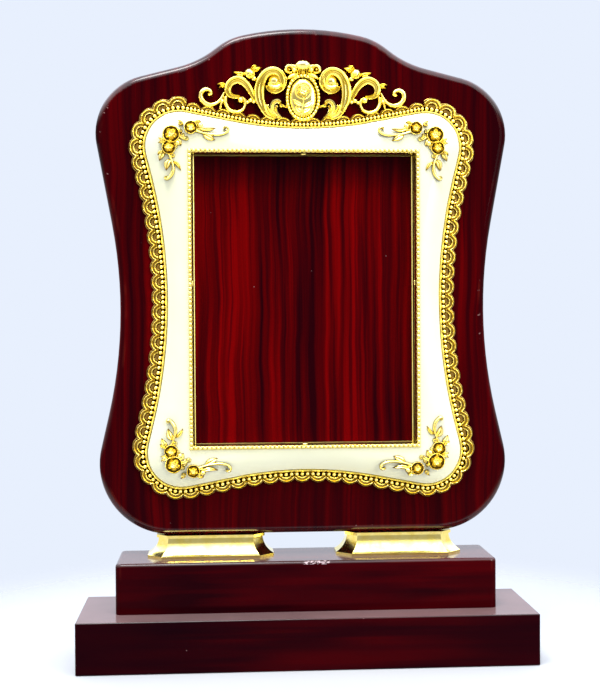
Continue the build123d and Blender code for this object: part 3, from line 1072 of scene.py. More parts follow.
@dataclass
class WaistedFrame:
    """The cream frame: a pillowed shell between a waisted outline and a square window.

    corner is the (x, z, radius) of its corners from the middle, side the (x, radius) of its waist, and
    end the (z, radius) of its top and bottom.
    """

    layout: Layout
    corner: tuple[float, float, float] = (82.4, 95.5, 16.5)
    side: tuple[float, float] = (58.9, 250.0)
    end: tuple[float, float] = (79.9, 180.0)
    edge: float = 3.4
    roll: float = 12.0
    window_wall: float = 1.0
    rings: int = 20

    def outline(self) -> Line:
        """The frame's outer line, from the middle of the top round clockwise.

        Returns:
            A closed line.
        """
        z = self.layout.frame_z
        x_c, z_c, r_c = self.corner
        x_s, r_s = self.side
        z_e, r_e = self.end
        corners = [
            (0.0, z + z_e, r_e), (x_c, z + z_c, r_c), (x_s, z, r_s), (x_c, z - z_c, r_c),
            (0.0, z - z_e, r_e), (-x_c, z - z_c, r_c), (-x_s, z, r_s), (-x_c, z + z_c, r_c),
        ]
        return rounded_loop(corners, 0.5)

    def window(self) -> np.ndarray:
        """Points round the window's edge, with one in each corner.

        Returns:
            One (x, z) row for each point.
        """
        half_w = self.layout.window_w / 2 + self.window_wall
        half_h = self.layout.window_h / 2 + self.window_wall
        corners = [(half_w, half_h), (half_w, -half_h), (-half_w, -half_h), (-half_w, half_h)]
        points = []
        for index, corner in enumerate(corners):
            following = corners[(index + 1) % 4]
            for share in np.linspace(0, 1, 70, endpoint=False):
                points.append(np.array(corner) * (1 - share) + np.array(following) * share)
        return np.array(points) + (0, self.layout.frame_z)

    def build(self, material: bpy.types.Material) -> bpy.types.Object:
        """Builds the shell in place of its construction node.

        Args:
            material: its finish.

        Returns:
            The object.
        """
        outer = self.outline()
        centre = np.array([0.0, self.layout.frame_z])
        inner = self.window()
        bearing = np.arctan2(*(outer.points - centre).T[::-1])
        order = np.argsort(bearing)
        reach = np.linalg.norm(outer.points - centre, axis=1)
        aim = np.arctan2(*(inner - centre).T[::-1])
        far = np.interp(aim, bearing[order], reach[order], period=2 * math.pi)
        rim = centre + np.stack([np.cos(aim), np.sin(aim)], axis=1) * far[:, None]
        rows = [np.column_stack([rim, np.zeros(len(rim))])]
        for share in np.linspace(0, 1, self.rings) ** 1.4:
            flat = rim * (1 - share) + inner * share
            gap = np.linalg.norm(flat[:, None] - outer.points[None], axis=2).min(1)
            rise = np.sin(np.clip(gap / self.roll, 0, 1) * math.pi / 2) ** 0.85
            rows.append(np.column_stack([flat, self.edge + (self.layout.frame_depth - self.edge) * rise]))
        rows.append(np.column_stack([inner, np.zeros(len(inner))]))
        casting = Casting(self.layout)
        casting.grid(np.array(rows), closed=True)
        return casting.make("cream_frame", material, "cream_enamel", ["frame_body"])


@dataclass
class BeadedLiner:
    """The gold strip round the window: a row of beads, a wall down to the board, a lip and nubs."""

    layout: Layout
    wall: float = 1.0
    bead_pitch: float = 2.16
    bead_w: float = 1.9
    bead_h: float = 1.0
    strip_top: float = 0.9
    strip_w: float = 1.75
    lip_w: float = 1.2
    lip_slope: float = 0.6
    lip_top: float = 0.7
    lip_share: float = 0.62
    nub_l: float = 3.0
    nub_r: float = 0.7
    nub_h: float = 1.4
    nub_rise: float = 8.0

    def square_tube(self, casting: Casting, steps: Sequence[Point], share: float = 1.0) -> None:
        """Adds a moulding round the window.

        Args:
            casting: what it joins.
            steps: the (outward, height) points of its cut.
            share: how much of the way outward it goes along the top and bottom.
        """
        z = self.layout.frame_z
        rings = []
        for out, height in steps:
            half_w = self.layout.window_w / 2 + out
            half_h = self.layout.window_h / 2 + out * share
            corners = [(half_w, half_h), (half_w, -half_h), (-half_w, -half_h), (-half_w, half_h)]
            rings.append([(across, z + up, height) for across, up in corners])
        casting.grid(np.array(rings), closed=True)

    def build(self, material: bpy.types.Material) -> bpy.types.Object:
        """Builds the liner in place of its construction node.

        Args:
            material: its finish.

        Returns:
            The object.
        """
        casting = Casting(self.layout)
        depth = self.layout.frame_depth
        top = depth + self.strip_top
        strip = [
            (0, 0), (0, top - 0.3), (0.3, top), (1.5, top),
            (self.strip_w, top - 0.4), (self.strip_w, depth), (self.wall, depth), (self.wall, 0),
        ]
        self.square_tube(casting, strip)
        inner, outer = -self.lip_w, self.lip_slope - self.lip_w
        lip = [
            (0.1, 0), (inner, 0), (outer - 0.05, self.lip_top),
            (outer, self.lip_top), (outer, 0.12), (0.1, 0.12),
        ]
        self.square_tube(casting, lip, self.lip_share)
        self.add_beads(casting, top)
        self.add_nubs(casting)
        return casting.make("beaded_liner", material, "liner_gold", ["window_liner"])

    def add_nubs(self, casting: Casting) -> None:
        """Adds the nubs that hold a plate, one in the middle of each side.

        Args:
            casting: what they join.
        """
        half_w, half_h = self.layout.window_w / 2, self.layout.window_h / 2
        base = self.layout.frame_depth * 0.35
        for sign in (-1, 1):
            for across, up, run in ((sign * half_w, self.nub_rise, (0, 1)), (0, sign * half_h, (1, 0))):
                middle = np.array([across, up + self.layout.frame_z])
                reach = np.array(run) * self.nub_l / 2
                bar = flowing([middle - reach, middle + reach])
                casting.ribbon(bar, 2 * self.nub_r, self.nub_h, base=base)

    def add_beads(self, casting: Casting, top: float) -> None:
        """Sets the beads on the strip, evenly along each side, with one in each corner.

        Args:
            casting: what they join.
            top: the strip's top.
        """
        half_w = self.layout.window_w / 2 + self.bead_w / 2
        half_h = self.layout.window_h / 2 + self.bead_w / 2
        across = round(2 * half_w / self.bead_pitch)
        up = round(2 * half_h / self.bead_pitch)
        places = [(x, z) for x in np.linspace(-half_w, half_w, across + 1) for z in (-half_h, half_h)]
        places += [(x, z) for z in np.linspace(-half_h, half_h, up + 1)[1:-1] for x in (-half_w, half_w)]
        for x, z in places:
            casting.dome(x, self.layout.frame_z + z, self.bead_w / 2, self.bead_h, top - 0.25, 10)


# ---------------------------------------------------------------- scalloped border


@dataclass
class ScallopRun:
    """A run of scallops along the frame: double-rimmed bowls, with a row of beads at their foot.

    tuck is how much closer to the frame the bowls run along the bottom, below tuck_top by tuck_run.
    """

    layout: Layout
    outline: Line
    pitch: float = 7.4
    beads: int = 3
    bead_r: float = 1.0
    bead_away: float = 2.55
    bowl_away: float = 3.3
    bowl_r: float = 5.0
    rim_h: float = 2.7
    rail_w: float = 1.6
    rail_h: float = 3.8
    tuck: float = 1.4
    tuck_top: float = -66.0
    tuck_run: float = 20.0
    rows: int = 34
    steps: int = 18

    def height(self, reach: np.ndarray) -> np.ndarray:
        """A bowl's height: a floor, an inner rim, a channel, a rim and a low edge.

        Args:
            reach: distances from the bowl's centre, as shares of its radius.

        Returns:
            The height at each.
        """
        shares = [0.0, 0.34, 0.41, 0.46, 0.53, 0.60, 0.68, 0.74, 0.80, 0.85, 0.90, 0.95, 1.0]
        heights = [0.16, 0.18, 0.50, 0.76, 0.70, 0.34, 0.34, 0.74, 1.0, 0.90, 0.24, 0.34, 0.24]
        return self.rim_h * np.interp(reach, shares, heights)

    def add(self, casting: Casting, start: float, end: float) -> int:
        """Adds the run between two places along the outline.

        Args:
            casting: what it joins.
            start: where it starts.
            end: where it ends, further on.

        Returns:
            The number of scallops.
        """
        middle = self.outline.beside(self.bead_away)
        scale = middle.length / self.outline.length
        start, end = start * scale, end * scale
        count = max(1, round((end - start) / self.pitch))
        pitch = (end - start) / count
        self.add_bowls(casting, middle, start, pitch, count)
        for bead in range(count * self.beads):
            x, z = middle.at([start + (bead + 0.5) * pitch / self.beads])[0]
            casting.dome(x, z, self.bead_r, self.bead_r * 1.1, self.rim_h * 0.5, 12)
        return count

    def add_bowls(self, casting: Casting, middle: Line, start: float, pitch: float, count: int) -> None:
        """Adds the bowls, as one strip with a flat underside.

        Args:
            casting: what they join.
            middle: the line that the beads lie on.
            start: where the run starts along it.
            pitch: the length of one scallop.
            count: the number of scallops.
        """
        number = np.arange(count * self.steps + 1)
        places = start + pitch * number / self.steps
        across = np.abs((number / self.steps) % 1.0 - 0.5) * pitch
        z = middle.at(places)[:, 1] - self.layout.frame_z
        bowl_away = self.bowl_away - self.tuck * np.clip((self.tuck_top - z) / self.tuck_run, 0, 1)
        edge = bowl_away + np.sqrt(self.bowl_r**2 - across**2)
        low = self.bead_away - 0.45
        rings = [np.column_stack([middle.at(places, low - self.bead_away), np.zeros(len(places))])]
        for part in np.linspace(0, 1, self.rows):
            away = low + (edge - low) * part
            reach = np.hypot(across, np.maximum(away - bowl_away, 0)) / self.bowl_r
            foot = np.clip(away - self.bead_away - 0.2, 0.16, 1)
            flat = middle.at(places, away - self.bead_away)
            rings.append(np.column_stack([flat, self.height(reach) * foot]))
        rings.append(np.column_stack([middle.at(places, edge - self.bead_away), np.zeros(len(places))]))
        casting.grid(np.array(rings).transpose(1, 0, 2), closed=False)

    def add_rail(self, casting: Casting, start: float, end: float) -> None:
        """Adds the plain rail along the frame.

        Args:
            casting: what it joins.
            start: where it starts along the outline.
            end: where it ends, further on.
        """
        rail = self.outline.beside(self.rail_w / 2)
        scale = rail.length / self.outline.length
        places = np.arange(start * scale, end * scale, 0.8)
        casting.ribbon(Line(rail.at(places)), self.rail_w, self.rail_h, Section.ROUND, Ends.STRAIGHT)


@dataclass
class LaceBorder:
    """The gold border round the sides and the bottom of the frame, between its joints with the crest."""

    layout: Layout
    outline: Line
    joint_x: float = 57.0
    corner_x: float = 57.0
    bottom_pitch: float = 8.0

    def build(self, material: bpy.types.Material) -> bpy.types.Object:
        """Builds the border in place of its construction node.

        Args:
            material: its finish.

        Returns:
            The object.
        """
        casting = Casting(self.layout)
        side = ScallopRun(self.layout, self.outline)
        bottom = ScallopRun(self.layout, self.outline, pitch=self.bottom_pitch)
        places = [
            self.outline.place_of(self.joint_x, upper=True),
            self.outline.place_of(self.corner_x, upper=False),
            self.outline.place_of(-self.corner_x, upper=False),
            self.outline.place_of(-self.joint_x, upper=True),
        ]
        places = [place + (self.outline.length if place < places[0] else 0.0) for place in places]
        made = [run.add(casting, a, b) for run, a, b in zip((side, bottom, side), places, places[1:])]
        side.add_rail(casting, places[0], places[-1])
        LOG.info("lace_border: %s scallops", made)
        return casting.make("scalloped_border", material, "ornament_gold", ["lace_border"])


# ---------------------------------------------------------------- crest


@dataclass
class Crest:
    """The pierced scrollwork over the top of the frame, on its own run of small scallops.

    Places are for the right half, as (x, z), with z from the frame's centre.
    """

    layout: Layout
    outline: Line
    joint_x: float = 57.0

    def up(self, points: Sequence[Point]) -> list[Point]:
        """Moves points from the frame's centre to their place."""
        return [(x, z + self.layout.frame_z) for x, z in points]

    def scroll(
        self,
        casting: Casting,
        points: Sequence[Point],
        widths: Sizes,
        heights: Sizes,
        section: Section = Section.ROUND,
        ends: Ends = Ends.ROUND,
        base: float = 0.0,
    ) -> None:
        """Adds a ribbon through points from the frame's centre."""
        casting.ribbon(flowing(self.up(points)), widths, heights, section, ends, base)

    def knob(self, casting: Casting, x: float, z: float, radius: float, height: float) -> None:
        """Adds a round knob."""
        casting.dome(x, z + self.layout.frame_z, radius, height, 0.0, 16)

    def build(self, material: bpy.types.Material) -> bpy.types.Object:
        """Builds the crest in place of its construction node.

        Args:
            material: its finish.

        Returns:
            The object.
        """
        casting = Casting(self.layout)
        left = self.outline.place_of(-self.joint_x, upper=True)
        right = self.outline.place_of(self.joint_x, upper=True)
        if right < left:
            right += self.outline.length
        band = ScallopRun(
            self.layout, self.outline, pitch=7.2, beads=4, bead_r=0.88, bead_away=2.5,
            bowl_away=1.6, bowl_r=4.4,
        )
        band.add(casting, left, right)
        band.add_rail(casting, left, right)
        since = casting.mark()
        self.add_c_scroll(casting)
        self.add_frond(casting)
        self.add_s_scroll(casting)
        self.add_end_volute(casting)
        self.add_bud(casting)
        self.add_shell_side(casting)
        casting.mirror(since)
        self.add_shell(casting)
        self.add_bezel(casting)
        return casting.make("scrolled_crest", material, "ornament_gold", ["crest"])

    def add_c_scroll(self, casting: Casting) -> None:
        """Adds the big C scroll beside the cameo, from its foot on the band to its eye.

        Args:
            casting: what it joins.
        """
        path = [
            (13.2, 88.4), (17.8, 90.6), (20.6, 96.2), (21.3, 101.2), (20.6, 105.9), (18.6, 109.5),
            (15.9, 111.2), (13.0, 111.2), (10.6, 109.3), (9.7, 106.1), (10.9, 103.0), (13.7, 101.4),
            (16.6, 102.3), (17.8, 104.8),
        ]
        widths = [2.4, 2.6, 3.4, 4.6, 4.9, 4.9, 4.5, 4.2, 4.0, 3.8, 3.8, 3.4, 2.6, 1.6]
        self.scroll(casting, path, widths, [2.6, 3.4, 4.0, 4.4, 4.6, 4.6, 4.4, 4.2], Section.DISHED)
        crescent = [(10.8, 106.6), (11.6, 104.2), (13.9, 103.4), (16.2, 104.4), (16.7, 106.4)]
        self.scroll(casting, crescent, [1.6, 3.2, 3.8, 3.2, 1.6], [3.4, 4.6, 4.8, 4.6, 3.2])
        self.knob(casting, 13.9, 106.6, 3.3, 3.4)

    def add_frond(self, casting: Casting) -> None:
        """Adds the ribbed acanthus curl between the C scroll's foot and the cameo, with its knob.

        Args:
            casting: what it joins.
        """
        curls = [
            (
                [(11.2, 88.4), (14.2, 91.3), (15.0, 93.9), (14.3, 96.0), (12.4, 96.8), (10.8, 95.6)],
                2.9, 3.8,
            ),
            ([(12.0, 88.4), (15.6, 91.0), (17.2, 93.4), (17.4, 95.6)], 1.8, 3.0),
            ([(13.0, 88.4), (16.8, 90.4), (18.6, 92.6)], 1.6, 2.6),
            ([(10.2, 88.4), (12.4, 90.6), (13.2, 93.2), (12.4, 95.0)], 1.6, 2.8),
        ]
        for path, width, height in curls:
            self.scroll(casting, path, [width * 0.6, width, width, width * 0.8], height, Section.RIDGED)
        self.knob(casting, 10.4, 94.5, 1.5, 3.9)
        self.knob(casting, 8.7, 94.2, 1.1, 2.9)

    def add_s_scroll(self, casting: Casting) -> None:
        """Adds the outer S scroll: an arch over a ring, with a bulb in it and a knob to the C scroll.

        Args:
            casting: what it joins.
        """
        arch = [
            (23.2, 96.8), (25.1, 100.6), (26.9, 103.6), (29.3, 106.0), (32.0, 106.9), (34.9, 105.7),
            (36.5, 103.2), (36.2, 100.6), (34.2, 98.9), (30.4, 98.6),
        ]
        widths = [1.6, 2.6, 3.4, 3.9, 4.1, 4.1, 3.9, 3.2, 2.4, 1.8]
        self.scroll(casting, arch, widths, [2.8, 3.8, 4.2, 4.0, 3.4], Section.DISHED)
        ring = [
            (37.4, 99.6), (37.7, 96.0), (36.4, 93.1), (34.1, 91.7), (31.5, 91.6), (29.4, 92.7),
            (28.3, 94.8), (28.4, 97.0), (29.8, 98.4), (31.2, 97.4),
        ]
        ring_w = [2.0, 2.5, 2.6, 2.6, 2.5, 2.4, 2.3, 2.2, 2.0, 1.6]
        self.scroll(casting, ring, ring_w, [3.2, 3.7, 3.7, 3.8])
        self.knob(casting, 30.4, 97.2, 1.9, 4.2)
        self.knob(casting, 25.6, 97.1, 1.5, 3.2)
        self.knob(casting, 24.0, 96.4, 1.2, 2.6)
        self.knob(casting, 27.1, 96.2, 1.2, 2.6)
        leaves = (
            [(37.4, 104.6), (39.4, 105.2), (42.0, 104.9)],
            [(37.8, 103.4), (39.6, 103.8), (41.2, 103.2)],
        )
        for path in leaves:
            self.scroll(casting, path, 2.0, 2.6, Section.LEAF, Ends.POINTED)

    def add_end_volute(self, casting: Casting) -> None:
        """Adds the open volute at the crest's outer end, and its arm.

        Args:
            casting: what it joins.
        """
        path = [
            (38.2, 101.4), (39.8, 98.2), (42.0, 95.9), (45.0, 94.9), (47.9, 95.9), (49.7, 98.4),
            (49.4, 100.9), (47.5, 102.3), (45.3, 101.8), (44.6, 100.2), (45.7, 99.4),
        ]
        widths = [1.4, 1.8, 2.0, 2.4, 2.8, 3.1, 3.2, 3.1, 2.8, 2.3, 1.6]
        self.scroll(casting, path, widths, [2.6, 2.8, 3.6, 3.8, 3.6])
        self.knob(casting, 45.6, 99.8, 1.2, 3.9)
        self.knob(casting, 39.4, 96.8, 1.2, 2.8)
        self.scroll(casting, [(38.6, 99.6), (39.8, 95.6), (40.6, 92.6)], [1.2, 1.6, 1.4], 2.6)

    def add_bud(self, casting: Casting) -> None:
        """Adds the small flower with leaves between the two scrolls' tops.

        Args:
            casting: what it joins.
        """
        z = self.layout.frame_z
        self.knob(casting, 26.0, 110.2, 3.0, 3.4)
        casting.ribbon(arc((25.6, 109.8 + z), 2.0, 150, 250), [1.0, 1.5, 1.2], [3.4, 4.2, 3.8])
        self.knob(casting, 25.5, 109.6, 1.2, 4.3)
        self.knob(casting, 24.0, 107.8, 1.7, 3.0)
        leaves = [
            ([(27.8, 109.9), (31.0, 109.9), (34.0, 111.0)], 3.0),
            ([(28.4, 108.8), (30.6, 108.8), (33.0, 109.0)], 2.2),
            ([(24.6, 111.2), (22.4, 112.2), (20.2, 113.2)], 3.2),
            ([(25.4, 112.0), (24.0, 113.4), (22.0, 114.2)], 2.2),
        ]
        for path, width in leaves:
            self.scroll(casting, path, width, 3.9, Section.LEAF, Ends.POINTED)

    def add_shell_side(self, casting: Casting) -> None:
        """Adds one side of the shell: its skirt's flutes, the small volute and the petals under it.

        Args:
            casting: what it joins.
        """
        z = self.layout.frame_z
        for x, spread in ((0.8, 1.1), (1.7, 2.3), (2.5, 3.5)):
            flute = [(x, 108.9), (x * 1.05, 110.8), (spread, 113.2)]
            self.scroll(casting, flute, [0.9, 0.9, 1.3], [3.2, 3.4, 4.0])
        volute = arc((6.6, 112.3 + z), 1.75, 215, -360)
        casting.ribbon(volute, [1.6, 2.3, 2.3, 2.0, 1.4], [3.2, 4.0, 4.0, 3.6])
        self.knob(casting, 6.7, 112.2, 0.9, 4.4)
        self.scroll(casting, [(2.6, 112.4), (4.0, 113.7), (6.2, 114.2)], [2.0, 2.4, 1.6], 3.9)
        self.knob(casting, 4.2, 112.0, 1.7, 3.4)
        petals = (
            ([(1.8, 110.2), (5.0, 109.2), (9.0, 106.8)], 2.8, 4.4),
            ([(1.8, 109.0), (4.4, 107.6), (7.2, 105.8)], 2.0, 4.2),
        )
        for path, width, height in petals:
            self.scroll(casting, path, width, height, Section.ROUND, Ends.POINTED)

    def add_shell(self, casting: Casting) -> None:
        """Adds the shell's dome, its middle flute and its collar.

        Args:
            casting: what it joins.
        """
        z = self.layout.frame_z
        turns, unit = round_turn(36)
        edge = (1 + 0.05 * np.cos(8 * turns)) / np.hypot(*(unit / (4.0, 2.5)).T)
        tops = 2.2 + 2.8 * np.sqrt(np.clip(1 - np.linspace(0, 1, 9)[:, None] ** 2, 0, 1)) + 0 * turns
        casting.heap(0.0, 114.2 + z, edge, tops, 0.0)
        self.scroll(casting, [(0, 108.9), (0, 113.0)], [0.9, 1.3], [3.2, 4.0])

    def add_bezel(self, casting: Casting) -> None:
        """Adds the ring of beads round the cameo, on a flat ring, with a fan of ribs under it.

        Args:
            casting: what it joins.
        """
        centre = np.array([0.0, self.layout.frame_z + CAMEO_Z])
        _, unit = round_turn(160)
        casting.ribbon(Line(centre + unit * (7.75, 10.65), closed=True), 2.1, 2.7)
        beads = Line(centre + unit * (7.8, 10.7), closed=True)
        count = 34
        for x, z in beads.at(beads.length * np.arange(count) / count):
            casting.dome(x, z, 0.82, 1.3, 2.5, 12)
        for share in (-3, -2, -1, 0, 1, 2, 3):
            run = np.array([math.sin(share * 0.27), -math.cos(share * 0.27)])
            root = centre + (share * 0.9, -7.6)
            casting.ribbon(flowing([root, root + run * 1.6, root + run * 3.2]), [0.8, 1.1, 0.9], 3.4)


@dataclass
class Cameo:
    """The domed oval in the crest, with a rose on its stem."""

    layout: Layout
    half_w: float = 6.4
    half_h: float = 9.3
    rise: float = 1.3
    edge: float = 2.0

    def build(self, material: bpy.types.Material) -> bpy.types.Object:
        """Builds the cameo in place of its construction node.

        Args:
            material: its finish.

        Returns:
            The object.
        """
        casting = Casting(self.layout)
        z = self.layout.frame_z + CAMEO_Z
        around, steps = 72, 10
        _, unit = round_turn(around)
        rim = 1 / np.hypot(*(unit / (self.half_w, self.half_h)).T)
        share = (np.arange(steps) + 0.15) / (steps - 0.85)
        tops = self.edge + self.rise * np.sqrt(np.clip(1 - share**2, 0, 1))
        casting.heap(0.0, z, rim, np.repeat(tops[:, None], around, axis=1), 0.0)
        face = self.edge + self.rise - 0.25
        casting.rose(0.1, z + 3.2, 4.3, 1.9, face - 0.5, 1.2)
        stem = flowing([(0.2, z + 0.6), (0.0, z - 3.0), (-0.9, z - 7.2)])
        casting.ribbon(stem, 0.8, 1.0, base=face - 0.4)
        for path in (
            [(-0.1, z - 4.4), (2.6, z - 3.4), (5.2, z - 1.2)],
            [(-0.2, z - 3.8), (-2.6, z - 2.8), (-5.0, z - 0.8)],
            [(-0.6, z - 7.0), (1.6, z - 6.4), (4.0, z - 4.6)],
            [(-0.6, z - 7.2), (-2.4, z - 6.0), (-3.8, z - 4.2)],
        ):
            casting.ribbon(flowing(path), 2.5, 1.2, Section.LEAF, Ends.POINTED, base=face - 0.55)
        return casting.make("rose_cameo", material, "ornament_gold", ["cameo"])


# ---------------------------------------------------------------- corner sprays


@dataclass
class CornerSpray:
    """Three roses in a corner of the frame, with buds, leaves and two tendrils.

    Places are for the top right corner, from the frame's centre.
    """

    layout: Layout
    name: str
    side: int
    end: int
    bud_h: float = 1.7
    leaf_h: float = 1.5
    knob_h: float = 2.1

    def put(self, x: float, z: float) -> Point:
        """A place in this spray's own corner."""
        return self.side * x, self.layout.frame_z + self.end * z

    def stem(self, casting: Casting, points: Sequence[Point], widths: Sizes, heights: Sizes) -> None:
        """Adds a round stem or tendril on the frame.

        Args:
            casting: what it joins.
            points: the places that it runs through.
            widths: its widths along it.
            heights: its heights along it.
        """
        line = flowing([self.put(x, z) for x, z in points])
        base = self.layout.frame_depth - BEDDED
        casting.ribbon(line, widths, heights, base=base)

    def leaf(self, casting: Casting, points: Sequence[Point], width: float) -> None:
        """Adds a pointed leaf with a middle groove.

        Args:
            casting: what it joins.
            points: the places that it runs through.
            width: its width at its widest.
        """
        line = flowing([self.put(x, z) for x, z in points])
        base = self.layout.frame_depth - BEDDED
        casting.ribbon(line, width, self.leaf_h, Section.LEAF, Ends.POINTED, base)

    def build(self, material: bpy.types.Material) -> bpy.types.Object:
        """Builds the spray in place of its construction node.

        Args:
            material: its finish.

        Returns:
            The object.
        """
        casting = Casting(self.layout)
        top = self.layout.frame_depth
        roses = (
            (64.0, 79.6, 4.3, 3.0, 0.3), (65.2, 73.3, 3.5, 2.6, 0.9), (54.6, 82.9, 3.3, 2.6, 1.5),
        )
        for x, z, radius, height, turn in roses:
            casting.rose(*self.put(x, z), radius, height, top, turn * self.side)
        buds = (
            (59.4, 84.8, 1.3), (50.0, 83.9, 1.4), (51.9, 84.6, 1.0), (56.8, 77.6, 1.3), (58.6, 79.4, 1.2),
            (63.4, 69.4, 1.3), (68.6, 70.0, 1.1), (61.8, 73.6, 1.0), (59.6, 81.4, 1.1), (61.0, 75.4, 1.4),
        )
        for x, z, radius in buds:
            casting.dome(*self.put(x, z), radius, self.bud_h, top, 10)
        self.add_leaves(casting)
        self.add_tendrils(casting)
        return casting.make(self.name + "_roses", material, "ornament_gold", [self.name])

    def add_leaves(self, casting: Casting) -> None:
        """Adds the leaves round the roses and along the tendrils.

        Args:
            casting: what they join.
        """
        leaves = [
            ([(66.6, 76.4), (68.4, 77.0), (70.2, 78.0)], 1.9),
            ([(66.8, 75.6), (68.6, 75.8), (70.4, 75.6)], 1.8),
            ([(67.0, 70.6), (68.8, 69.2), (69.8, 66.8)], 2.6),
            ([(67.8, 71.6), (69.6, 70.8), (70.6, 69.6)], 1.8),
            ([(61.4, 77.4), (60.2, 76.0), (59.4, 74.0)], 2.6),
            ([(60.6, 79.0), (58.6, 78.2), (57.0, 76.4)], 2.2),
            ([(58.2, 84.0), (59.6, 85.6), (60.8, 86.6)], 1.8),
            ([(53.0, 84.8), (51.2, 85.8), (49.4, 85.6)], 1.8),
            ([(52.6, 80.6), (50.6, 81.8), (48.6, 82.2)], 1.8),
            ([(64.2, 67.6), (65.9, 65.6), (66.6, 62.2)], 3.2),
            ([(63.2, 66.6), (61.2, 65.2), (59.4, 62.2)], 1.9),
            ([(48.8, 79.9), (46.2, 78.4), (42.9, 76.8)], 3.2),
            ([(51.6, 83.4), (47.2, 82.0), (42.4, 82.6)], 2.4),
        ]
        for path, width in leaves:
            self.leaf(casting, path, width)

    def add_tendrils(self, casting: Casting) -> None:
        """Adds the two tendrils, each with a knob in its curl.

        Args:
            casting: what they join.
        """
        upright = [
            (65.4, 70.4), (63.8, 66.8), (63.1, 63.6), (63.6, 61.0),
            (64.9, 59.0), (66.4, 58.0), (67.4, 58.8),
        ]
        level = [
            (52.4, 81.4), (47.6, 80.0), (42.0, 79.4), (38.4, 80.1),
            (36.6, 81.6), (37.0, 83.0), (38.4, 83.2),
        ]
        heights = [1.5, 1.7, 1.9]
        self.stem(casting, upright, [1.2, 1.2, 1.4, 1.8, 2.0, 1.7, 1.2], heights)
        self.stem(casting, level, [1.2, 1.2, 1.5, 1.6, 1.5, 1.2], heights)
        for x, z, radius in ((66.6, 58.8, 1.1), (38.4, 82.8, 0.9)):
            casting.dome(*self.put(x, z), radius, self.knob_h, self.layout.frame_depth, 10)


# ---------------------------------------------------------------- wood and hardware


@dataclass(frozen=True)
class Tier:
    """How one tier of the plinth is finished: how strong its red is, how dusty its top, and its chip."""

    node: str
    red: float
    dust: float
    chip_x: float | None = None

    def lacquer(self) -> RosewoodLacquer:
        """Works out the tier's lacquer.

        Returns:
            The finish, with its grain along the tier.
        """
        low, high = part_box(self.node)
        return RosewoodLacquer(
            self.node + "_lacquer",
            Grain.ALONG,
            front=low.y,
            edge_band=0.002,
            streaks_per_metre=110.0,
            stretch=9.0,
            dark=(0.013 * self.red, 0.0002, 0.0018),
            mid=(0.046 * self.red, 0.0002, 0.0016),
            bright=(0.115 * self.red, 0.0003, 0.0014),
            # outer is the painted shade towards the tier's ends
            outer=(0.034 * self.red, 0.0002, 0.0016),
            middle=tuple((low + high) / 2),
            gloss=0.11,
            top_coat=0.75,
            dust=self.dust,
            chip_x=self.chip_x,
        )


@dataclass
class Woodwork:
    """The lacquered board and the two tiers of the plinth."""

    layout: Layout
    tiers: tuple[Tier, ...] = (Tier("lower_plinth", 0.34, 0.60), Tier("upper_plinth", 1.0, 0.30, 0.0045))

    def dress(self) -> None:
        """Gives the construction's wooden pieces their lacquer."""
        front = self.layout.board_front * MM
        board = RosewoodLacquer(
            "board_lacquer",
            Grain.UPRIGHT,
            front=front,
            edge_band=0.0045,
            middle=(0.0, front, self.layout.frame_z * MM),
            # the window's top and half width place the painted shadow under the frame's upper window edge
            window_top=(self.layout.frame_z + self.layout.window_h / 2) * MM,
            window_half_w=self.layout.window_w / 2 * MM,
        )
        dress("backboard", board.make())
        for tier in self.tiers:
            dress(tier.node, tier.lacquer().make())


@dataclass
class Hardware:
    """The gold risers, the screws and the felt."""

    def dress(self) -> None:
        """Gives the construction's metal and felt pieces their finish."""
        low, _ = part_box("riser_left")
        gold = GoldPlate("riser_gold", low.y, deep=-1.0, proud=-0.9, shadow_depth=-1.0).make()
        for node in ("riser_left", "riser_right"):
            dress(node, gold)
        steel = ZincSteel("screw_zinc").make()
        for node in ("step_screws", "riser_screws", "back_screws"):
            dress(node, steel)
        dress("base_felt", PressedFelt("black_felt").make())


def dress(node: str, material: bpy.types.Material) -> None:
    """Puts a finish on a construction node, in place of its own.

    Args:
        node: the node's name.
        material: its finish.
    """
    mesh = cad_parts[node].data
    mesh.materials.clear()
    mesh.materials.append(material)
    LOG.info("%s: dressed", node)


# ---------------------------------------------------------------- studio


@dataclass(frozen=True)
class Lamp:
    """A soft rectangular lamp."""

    name: str
    place: tuple[float, float, float]
    width: float
    height: float
    power: float
    colour: tuple[float, float, float] = (1.0, 0.99, 0.97)

    def hang(self, aim: Vector) -> None:
        """Hangs the lamp in its place.

        Args:
            aim: the point that it shines at.
        """
        light = bpy.data.lights.new(self.name, "AREA")
        light.shape = "RECTANGLE"
        light.size = self.width
        light.size_y = self.height
        light.energy = self.power
        light.color = self.colour
        holder = bpy.data.objects.new(self.name, light)
        bpy.context.scene.collection.objects.link(holder)
        holder.location = self.place
        holder.rotation_euler = (aim - Vector(self.place)).to_track_quat("-Z", "Y").to_euler()


